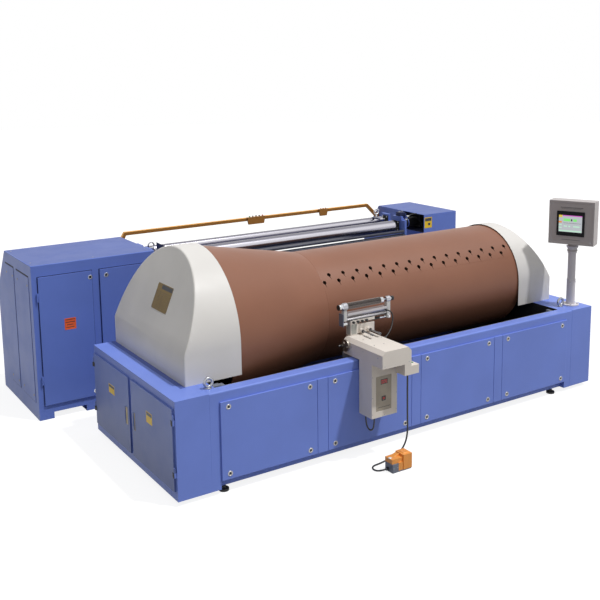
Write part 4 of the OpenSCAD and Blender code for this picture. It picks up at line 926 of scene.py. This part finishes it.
axle = (0.14, 1.216)
holder = [slab("arm", (1.2187, 0.12, 1.092), (1.252, 0.16, 1.216), 0.006, 4),
          turned("head", (1.2137, *axle), RIGHT, [
              (29, 0), (32.5, 3), (32.5, 40), (30, 43)], 48),
          slab("arm", (1.67, 0.12, 1.052), (1.708, 0.16, 1.216), 0.006, 4),
          turned("head", (1.667, *axle), RIGHT, [
              (22.5, 0), (25, 2.5), (25, 41.5), (22.5, 44)], 40)]
pale = painted("reed_paint", tone(214, 212, 210), 0.4)
machined = bare("machined_head", tone(184, 184, 190), 0.24, (0.2, 1, 1))
holder = [coated(piece, look) for piece, look in zip(holder, (pale, machined, pale, machined))]
metal = bare("bar_metal", tone(178, 175, 178), 0.34, (0.03, 1, 1))
bar = slab("bar", (1.254, 0.125, 1.092), (1.669, 0.175, 1.159), 0.003, 3)
carved(bar, slab("groove", (1.24, 0.115, 1.111), (1.7, 0.1295, 1.117), 0))
lip = slab("lip", (1.254, 0.118, 1.137), (1.669, 0.135, 1.159), 0.0024, 3)
holder += coats(metal, bar, lip)
holder += coats(
    "chrome",
    turned("cap", (1.214, *axle), LEFT, [
        (27, 0), (27, 10), (22, 13), (22, 30), (19.5, 33)], 48),
    turned("foot", (1.213, 0.129, 1.07), RIGHT, [(14, 0), (15, 2), (15, 38), (13, 40)]),
    turned("neck", (1.71, *axle), RIGHT, [(13, 0), (13, 17)]),
    turned("rod", (1.6, 0.14, 1.065), RIGHT, [(10, 0), (10, 69)], 24),
    slab("block", (1.678, 0.11, 1.056), (1.7, 0.125, 1.08), 0.002))
holder += coats(
    "button_dark",
    turned("seal", (1.181, *axle), LEFT, [
        (22, 0), (23.5, 1.5), (23.5, 7), (14, 7.5), (13, 4)], 48),
    turned("knob", (1.726, *axle), RIGHT, [(15, 0), (20, 2), (20, 20), (16.5, 24)], 12),
    turned("sleeve", (1.528, 0.14, 1.065), RIGHT, [
        (9, 0), (12, 1.5), (12, 48), (10, 50), (10, 74)], 24),
    slab("shadow", (1.256, 0.116, 1.0905), (1.667, 0.13, 1.096), 0))
link = slab("link", (1.204, 0.113, 1.05), (1.2135, 0.175, 1.16), 0.0045, 3)
holder += coats("machinery_grey", link)
placed(joined("reed_holder_frame", holder), "reed_head", "carriage_cream", "reed_holder")

bpy.ops.mesh.primitive_circle_add(vertices=56, radius=0.028, fill_type="NGON",
                                  location=(1.258, *axle), rotation=(0, math.pi / 2, 0))
flutes = bpy.context.object
for corner in flutes.data.vertices:
    if corner.index % 2:
        corner.co *= 0.9
raised(flutes, (0.347, 0, 0))
# The flutes' grooves are painted dark and their crests light: painted shade and painted highlight
# in place of the roller's reflections.
fluted = Finish("roller_steel", roughness=0.3, metallic=1)
depth = ((fluted.axis("Y") - axle[0]) ** 2 + (fluted.axis("Z") - axle[1]) ** 2) ** 0.5
fluted.set("Base Color", fluted.mix(
    tone(56, 50, 48), tone(150, 142, 138), depth.between(0.0262, 0.0282)))
flutes = [coated(flutes, fluted.material)]
flutes += [coated(turned("collar", (start, *axle), RIGHT, [
    (23.5, 0), (24.5, 1), (24.5, length - 1), (23.5, length)], 40), metal_kind)
    for start, length, metal_kind in ((1.605, 30, "chrome"), (1.2567, 3, "button_dark"))]
flutes += coats("steel", turned("journal", (1.2, *axle), RIGHT, [(7.5, 0), (7.5, 506)], 24))
placed(joined("fluted_roller", flutes), "roller", "steel", "measuring_roller")


# --- Foot switch ------------------------------------------------------------
# A grey die-cast base with the cord's gland, under a moulded orange hood that
# keeps falling things off the treadle. The hood is low over the switch, with a
# small white lamp, and high over the toe.
base = [coated(rounded(copied("base", "foot_switch_base"), 0.004, 3), "machinery_grey")]
base.append(coated(turned("nut", (1.23, -0.458, 0.022), LEFT, [
    (15, 0), (15, 8), (13, 9.2), (13, 18), (9, 21.8)], 24), "button_dark"))
base += [fixing((x, -0.52, 0.04), FRONT, 4) for x in (1.24, 1.28)]
placed(joined("switch_base", base), "carriage", "machinery_grey", "foot_switch_base")
hood = [coated(rounded(copied("hood", "foot_switch_guard"), 0.0055, 4), "guard_orange")]
ramp = slab("ramp", (1.256, -0.47, 0.1), (1.35, -0.424, 0.13), 0)
for corner in ramp.data.vertices:
    if corner.co.z > 0.12 and corner.co.x < 1.3:
        corner.co.z = 0.108
hood.append(coated(rounded(ramp, 0.005, 3), "guard_orange"))
top = slab("top", (1.345, -0.51, 0.129), (1.41, -0.43, 0.14), 0)
picked(top, lambda face: face.normal.z > 0.9)
bpy.ops.transform.resize(value=(0.72, 0.72, 1))
mode("OBJECT")
hood.append(coated(rounded(top, 0.003, 3), "guard_orange"))
hood.append(coated(turned("lamp", (1.24, -0.47, 0.1115), UP, [
    (14, 0), (14, 2), (11, 5), (6, 6.5)]),
    moulded("lamp_white", tone(236, 236, 232), 0.3)))
placed(joined("guard_hood", hood), "carriage", "guard_orange", "foot_switch_guard")
placed(rounded(copied("treadle_plate", "foot_treadle"), 0.0012), "treadle", "rubber",
       "foot_treadle")


# --- Rear cabinets ----------------------------------------------------------
# Two cabinets of folded sheet, deeper at the foot. The left one has two doors
# with quarter turn locks in front and two lift-off covers on its end, whose
# top edges are vented. The right one is open to the beam's drive at a corner.
# The labels hold nothing but plain bars.
seam = painted("seam_shadow", tone(34, 42, 78), 0.6)
shell = eased(copied("shell", "left_cabinet"), lambda face: face.center.z > 1.4545, 0.009)
# The cabinets' tops get a darker blue than their sides: painted shade. The right cabinet's fascia
# takes the same blue.
top_shade_paint = painted("cabinet_top_paint", tone(86, 104, 168), 0.5)


def recoated(piece, coat, wanted):
    """Gives the faces that wanted() names another coat."""
    piece.data.materials.append(coat)
    for face in piece.data.polygons:
        if wanted(face):
            face.material_index = len(piece.data.materials) - 1
    return piece


def topped(shell):
    return recoated(shell, top_shade_paint, lambda face: face.normal.z > 0.9 and face.center.z > 1.45)


shell = [topped(coated(rounded(shell, 0), "cabinet_blue"))]
# The dark strips round each door are painted shadow in its gaps.
for low_x in (-0.699, -0.121):
    low_z, high_z, high_x, wide = 0.138, 1.343, low_x + 0.501, 0.006
    for x0, x1, z0, z1 in ((low_x - wide, low_x - 0.0005, low_z - wide, high_z + wide),
                           (high_x + 0.0005, high_x + wide, low_z - wide, high_z + wide),
                           (low_x, high_x, low_z - wide, low_z - 0.0005),
                           (low_x, high_x, high_z + 0.0005, high_z + wide)):
        shell.append(coated(slab("seal", (x0, 2.1575, z0), (x1, 2.1605, z1), 0), seam))
beige = moulded("stay_beige", tone(164, 152, 116), 0.4)
for low_y, high_y in ((2.246, 2.635), (2.725, 3.007)):
    # The dark strip round each cover is painted shadow in its gap.
    gap = slab("gap", (-0.7556, low_y - 0.005, 0.15), (-0.754, high_y + 0.005, 1.349), 0)
    sheet = slab("sheet", (-0.7585, low_y, 0.155), (-0.7545, high_y, 1.334), 0.0016, 3)
    # The vent is a near-black strip: painted shade for its slots.
    vent = slab("vent", (-0.7566, low_y + 0.01, 1.336), (-0.755, high_y - 0.01, 1.344), 0)
    shell += [coated(gap, seam), coated(sheet, "cabinet_blue"), coated(vent, dark_primer)]
    for y in (low_y + 0.038, high_y - 0.038):
        for z in (0.215, 1.255):
            shell += coats(beige, turned(
                "stay", (-0.7584, y, z), LEFT, [(10, 0), (9.6, 1.6), (6, 2)], 20))
for x, y in ((-0.715, 2.93), (-0.715, 2.29), (0.395, 2.93), (0.395, 2.29), (-0.16, 2.2)):
    shell.append(fixing((x, y, 1.455), UP, 8))
placed(joined("left_cabinet_shell", shell), "root", "cabinet_blue", "left_cabinet")
label_orange = moulded("label_orange", tone(246, 104, 48), 0.45)
for number, name, x_locks in ((1, "left", -0.214), (2, "right", -0.058)):
    leaf = coats("cabinet_blue", rounded(copied("leaf", f"cabinet_door_{number}"), 0.003, 3))
    for z in (0.184, 1.284):
        leaf += lock((x_locks, 2.145, z), "chrome", 10.6)
    if number == 1:
        leaf += coats(label_orange, slab(
            "label", (-0.479, 2.1442, 0.822), (-0.372, 2.1452, 0.93), 0.0003))
        for row, (x0, x1) in enumerate((
                (-0.47, -0.382), (-0.47, -0.382), (-0.458, -0.4), (-0.464, -0.39))):
            z = 0.916 - 0.024 * row
            leaf += coats(ink, slab("rule", (x0, 2.1438, z - 0.003), (x1, 2.1446, z + 0.003), 0))
    placed(joined(f"{name}_cabinet_leaf", leaf), f"{name}_cabinet_door", "cabinet_blue",
           f"cabinet_door_{number}")

shell = copied("shell", "right_cabinet")
shell.data.materials.append(finishes["cabinet_blue"])
# Faces inside the pocket get a dark navy: painted shade.
shell.data.materials.append(painted("pocket_paint", tone(58, 62, 88), 0.7))
for face in shell.data.polygons:
    inside = 3.8 < face.center.x < 4.125 and 2.161 < face.center.y < 2.545 and face.center.z > 1.23
    face.material_index = len(shell.data.materials) - (1 if inside else 2)
shell = [topped(rounded(eased(shell, lambda face: face.center.z > 1.4545, 0.0022), 0))]
shell += coats(top_shade_paint, slab("fascia", (3.718, 2.372, 1.386), (3.7225, 2.545, 1.4515), 0.001))
shell += coats(label_yellow, slab("label", (3.826, 2.1592, 1.295), (3.938, 2.1602, 1.42), 0.0003))
for low, high in (((3.834, 1.375), (3.93, 1.41)), ((3.88, 1.325), (3.912, 1.352))):
    shell += coats(label_dark, slab(
        "mark", (low[0], 2.1586, low[1]), (high[0], 2.1598, high[1]), 0.0002))
placed(joined("right_cabinet_shell", shell), "root", "cabinet_blue", "right_cabinet")


# --- Beaming section --------------------------------------------------------
# Ground rollers run between two blue bracket plates on a cross beam. Each
# bearing stands in a black flange with four bolts. The beam's drive looks out
# of the right cabinet's pocket, with two black air hoses.
for name, node, body, y, z, radius in (
    ("ground_press_roller", "press_roller", "press", 2.42, 1.315, 65),
    ("ground_guide_roller", "guide_roller", "guide", 2.64, 1.355, 45),
):
    # Each roller's dark, light and bright bands across its height are painted reflections.
    reflection_banded_steel = Finish(name, metallic=1)
    rise = (reflection_banded_steel.axis("Z") - z) * (1000 / radius)
    reflection_bands = reflection_banded_steel.mix(tone(160, 158, 170), tone(208, 206, 214), rise.between(0.05, 0.35))
    reflection_bands = reflection_banded_steel.mix(reflection_bands, tone(138, 136, 146), rise.between(0.5, 0.85))
    reflection_banded_steel.set("Base Color", reflection_banded_steel.mix(
        tone(82, 82, 92), reflection_bands, rise.between(-0.7, -0.2)))
    reflection_banded_steel.set("Roughness", reflection_banded_steel.noise(30, 3, 0.5, (0.02, 1, 1)) * 0.1 + 0.16)
    roller = coats(reflection_banded_steel.material, turned("barrel", (0.55, y, z), RIGHT, [
        (radius - 3, 0), (radius, 3), (radius, 3007), (radius - 3, 3010)], 96))
    for x, way in ((0.55, -1), (3.56, 1)):
        roller += coats("steel", turned("end", (x, y, z), (way, 0, 0), [
            (radius * 0.7, 0), (radius * 0.7, 12), (radius * 0.64, 18), (20, 18), (20, 90)], 48))
    placed(joined(name, roller), body, "chrome", node)

frame_plates = copied("plates", "rear_frame")
for x in (0.45, 3.6):
    carved(frame_plates, slab("cut", (x, 2.505, 1.35), (x + 0.085, 2.585, 1.48), 0))
    carved(frame_plates, slab("cut", (x, 2.25, 1.385), (x + 0.085, 2.345, 1.48), 0))
frame_plates = [coated(rounded(frame_plates, 0.0025), "cabinet_blue")]
for x, way in ((0.505, 1), (3.615, -1)):
    for y, z, size in ((2.42, 1.315, 0.06), (2.64, 1.355, 0.05)):
        x0 = x if way > 0 or size > 0.055 else 3.627
        face = x0 + way * 0.01
        flange = slab("flange", (x0, y - size, z - size), (face, y + size, z + size), 0.004, 3)
        bore = turned("bore", (x0 - 0.02 * way, y, z), (way, 0, 0), [(21.5, 0), (21.5, 60)])
        frame_plates.append(coated(carved(flange, bore), dark_primer))
        for turn in (45, 135, 225, 315):
            out, rise = (size * 1.05 * part(math.radians(turn)) for part in (math.cos, math.sin))
            frame_plates += coats("steel", turned(
                "bolt", (face, y + out, z + rise), (way, 0, 0), [(8.5, 0), (8.5, 6), (7, 7.2)], 6))
guard = slab("guard", (0.5, 2.24, 1.34), (0.63, 2.25, 1.512), 0)
for corner in guard.data.vertices:
    if corner.co.z > 1.4 and corner.co.x > 0.55:
        corner.co.z = 1.44
stay = slab("stay", (0.5, 2.246, 1.345), (0.512, 2.38, 1.375), 0.001)
frame_plates += [coated(rounded(guard, 0.0015), seam), coated(stay, seam)]
valve = slab("valve", (3.632, 2.372, 1.425), (3.712, 2.452, 1.47), 0.006, 3)
frame_plates.append(coated(valve, seam))
for x in (3.656, 3.69):
    frame_plates += coats("steel", turned(
        "plug", (x, 2.412, 1.47), UP, [(11, 0), (11, 10), (8.5, 12)], 16))
for x, y, z in ((3.43, 2.56, 1.48), (0.56, 2.52, 1.43)):
    loop = forged_ring((x, y, z), 0.03, 0.008, 40, 12)
    stem = slab("stem", (x - 0.007, y - 0.007, 1.398), (x + 0.007, y + 0.007, z - 0.026), 0.002)
    tie = slab("tie", (x - 0.012, y - 0.06, 1.392), (x + 0.012, y + 0.08, 1.404), 0.002)
    frame_plates += [coated(loop, "chrome"), coated(stem, "chrome"), coated(tie, seam)]
placed(joined("bracket_plates", frame_plates), "root", "cabinet_blue", "rear_frame")
rods = coated(copied("ground_guide_rods", "guide_rods"),
              moulded("rod_blacking", tone(48, 52, 70), 0.3))
placed(rounded(rods, 0), "root", "steel", "guide_rods")

drive = [coated(rounded(copied("drive", "beam_drive"), 0.003, 3), dark_primer)]
for y, z, length in ((2.3, 1.395, 0.3), (2.33, 1.35, 0.24)):
    bpy.ops.curve.primitive_bezier_curve_add(location=(0, 0, 0))
    hose = bpy.context.object
    spline = hose.data.splines[0]
    for point, x, rise, (reach, slope) in zip(
            spline.bezier_points, (3.7, 3.7 + length), (0.04, -0.11),
            ((0.12, 0.05), (-0.02, 0.12))):
        point.co = (x, y, z + rise)
        point.handle_left = (x - reach, y, z + rise - slope)
        point.handle_right = (x + reach, y, z + rise + slope)
    spline.bezier_points[1].handle_left = (3.7 + length, y, z + 0.02)
    hose.data.bevel_depth = 0.007
    hose.data.resolution_u = 16
    bpy.ops.object.convert(target="MESH")
    drive.append(coated(rounded(bpy.context.object, 0), "rubber"))
    drive.append(coated(turned("fitting", (3.672, y, z + 0.038), RIGHT, [
        (8, 0), (12, 1), (12, 16), (9, 18), (9, 34)], 12), "chrome"))
for x in (3.72, 3.78):
    drive.append(coated(turned("band", (x, 2.45, 1.33), RIGHT, [
        (55.5, 0), (58, 2), (58, 12), (55.5, 14)], 48), "casing_blue"))
placed(joined("beam_drive_unit", drive), "root", "cast_iron", "beam_drive")


# --- Button bar -------------------------------------------------------------
# A square orange tube with a bend at each end carries two boxes of the same
# colour. Grey plates on them, with a round hole for each, hold the push buttons.
bar_shade_paint = painted("bar_under_paint", tone(160, 108, 46), 0.5)


def shaded(piece):
    """Paints shade on the side and the underside: a darker orange than the top."""
    coated(piece, "bar_orange")
    return recoated(piece, bar_shade_paint, lambda face: face.normal.z < 0.2 and face.normal.y < 0.5)


bar = shaded(rounded(copied("square_bar", "button_bar"), 0.004, 3))
placed(bar, "root", "bar_orange", "button_bar")
boxes = [shaded(rounded(copied("boxes", "button_boxes"), 0.003, 3))]
plate_grey = painted("plate_grey", tone(118, 120, 130), 0.4)
wide_plate = slab("plate", (1.948, 3.008, 1.4976), (2.178, 3.029, 1.4987), 0.0008)
for number, colour in ((1, "green"), (2, "dark"), (3, "dark"), (4, "dark"), (5, "red")):
    x = 2.063 + 0.042 * (number - 3)
    hole = turned("hole", (x, 3.019, 1.49), UP, [(10.5, 0), (10.5, 30)], 24)
    carved(wide_plate, hole)
    button = coated(rounded(copied("button", f"push_button_{number}"), 0.0012, 3),
                    "button_" + colour)
    placed(button, f"bar_button_{number}", "button_" + colour, f"push_button_{number}")
boxes += coats(plate_grey, wide_plate, slab(
    "plate", (2.922, 3.008, 1.4976), (3.046, 3.029, 1.4987), 0.0008))
placed(joined("button_box_pair", boxes), "root", "bar_orange", "button_boxes")
placed(rounded(copied("foot_pads", "levelling_feet"), 0.002), "root", "rubber",
       "levelling_feet")
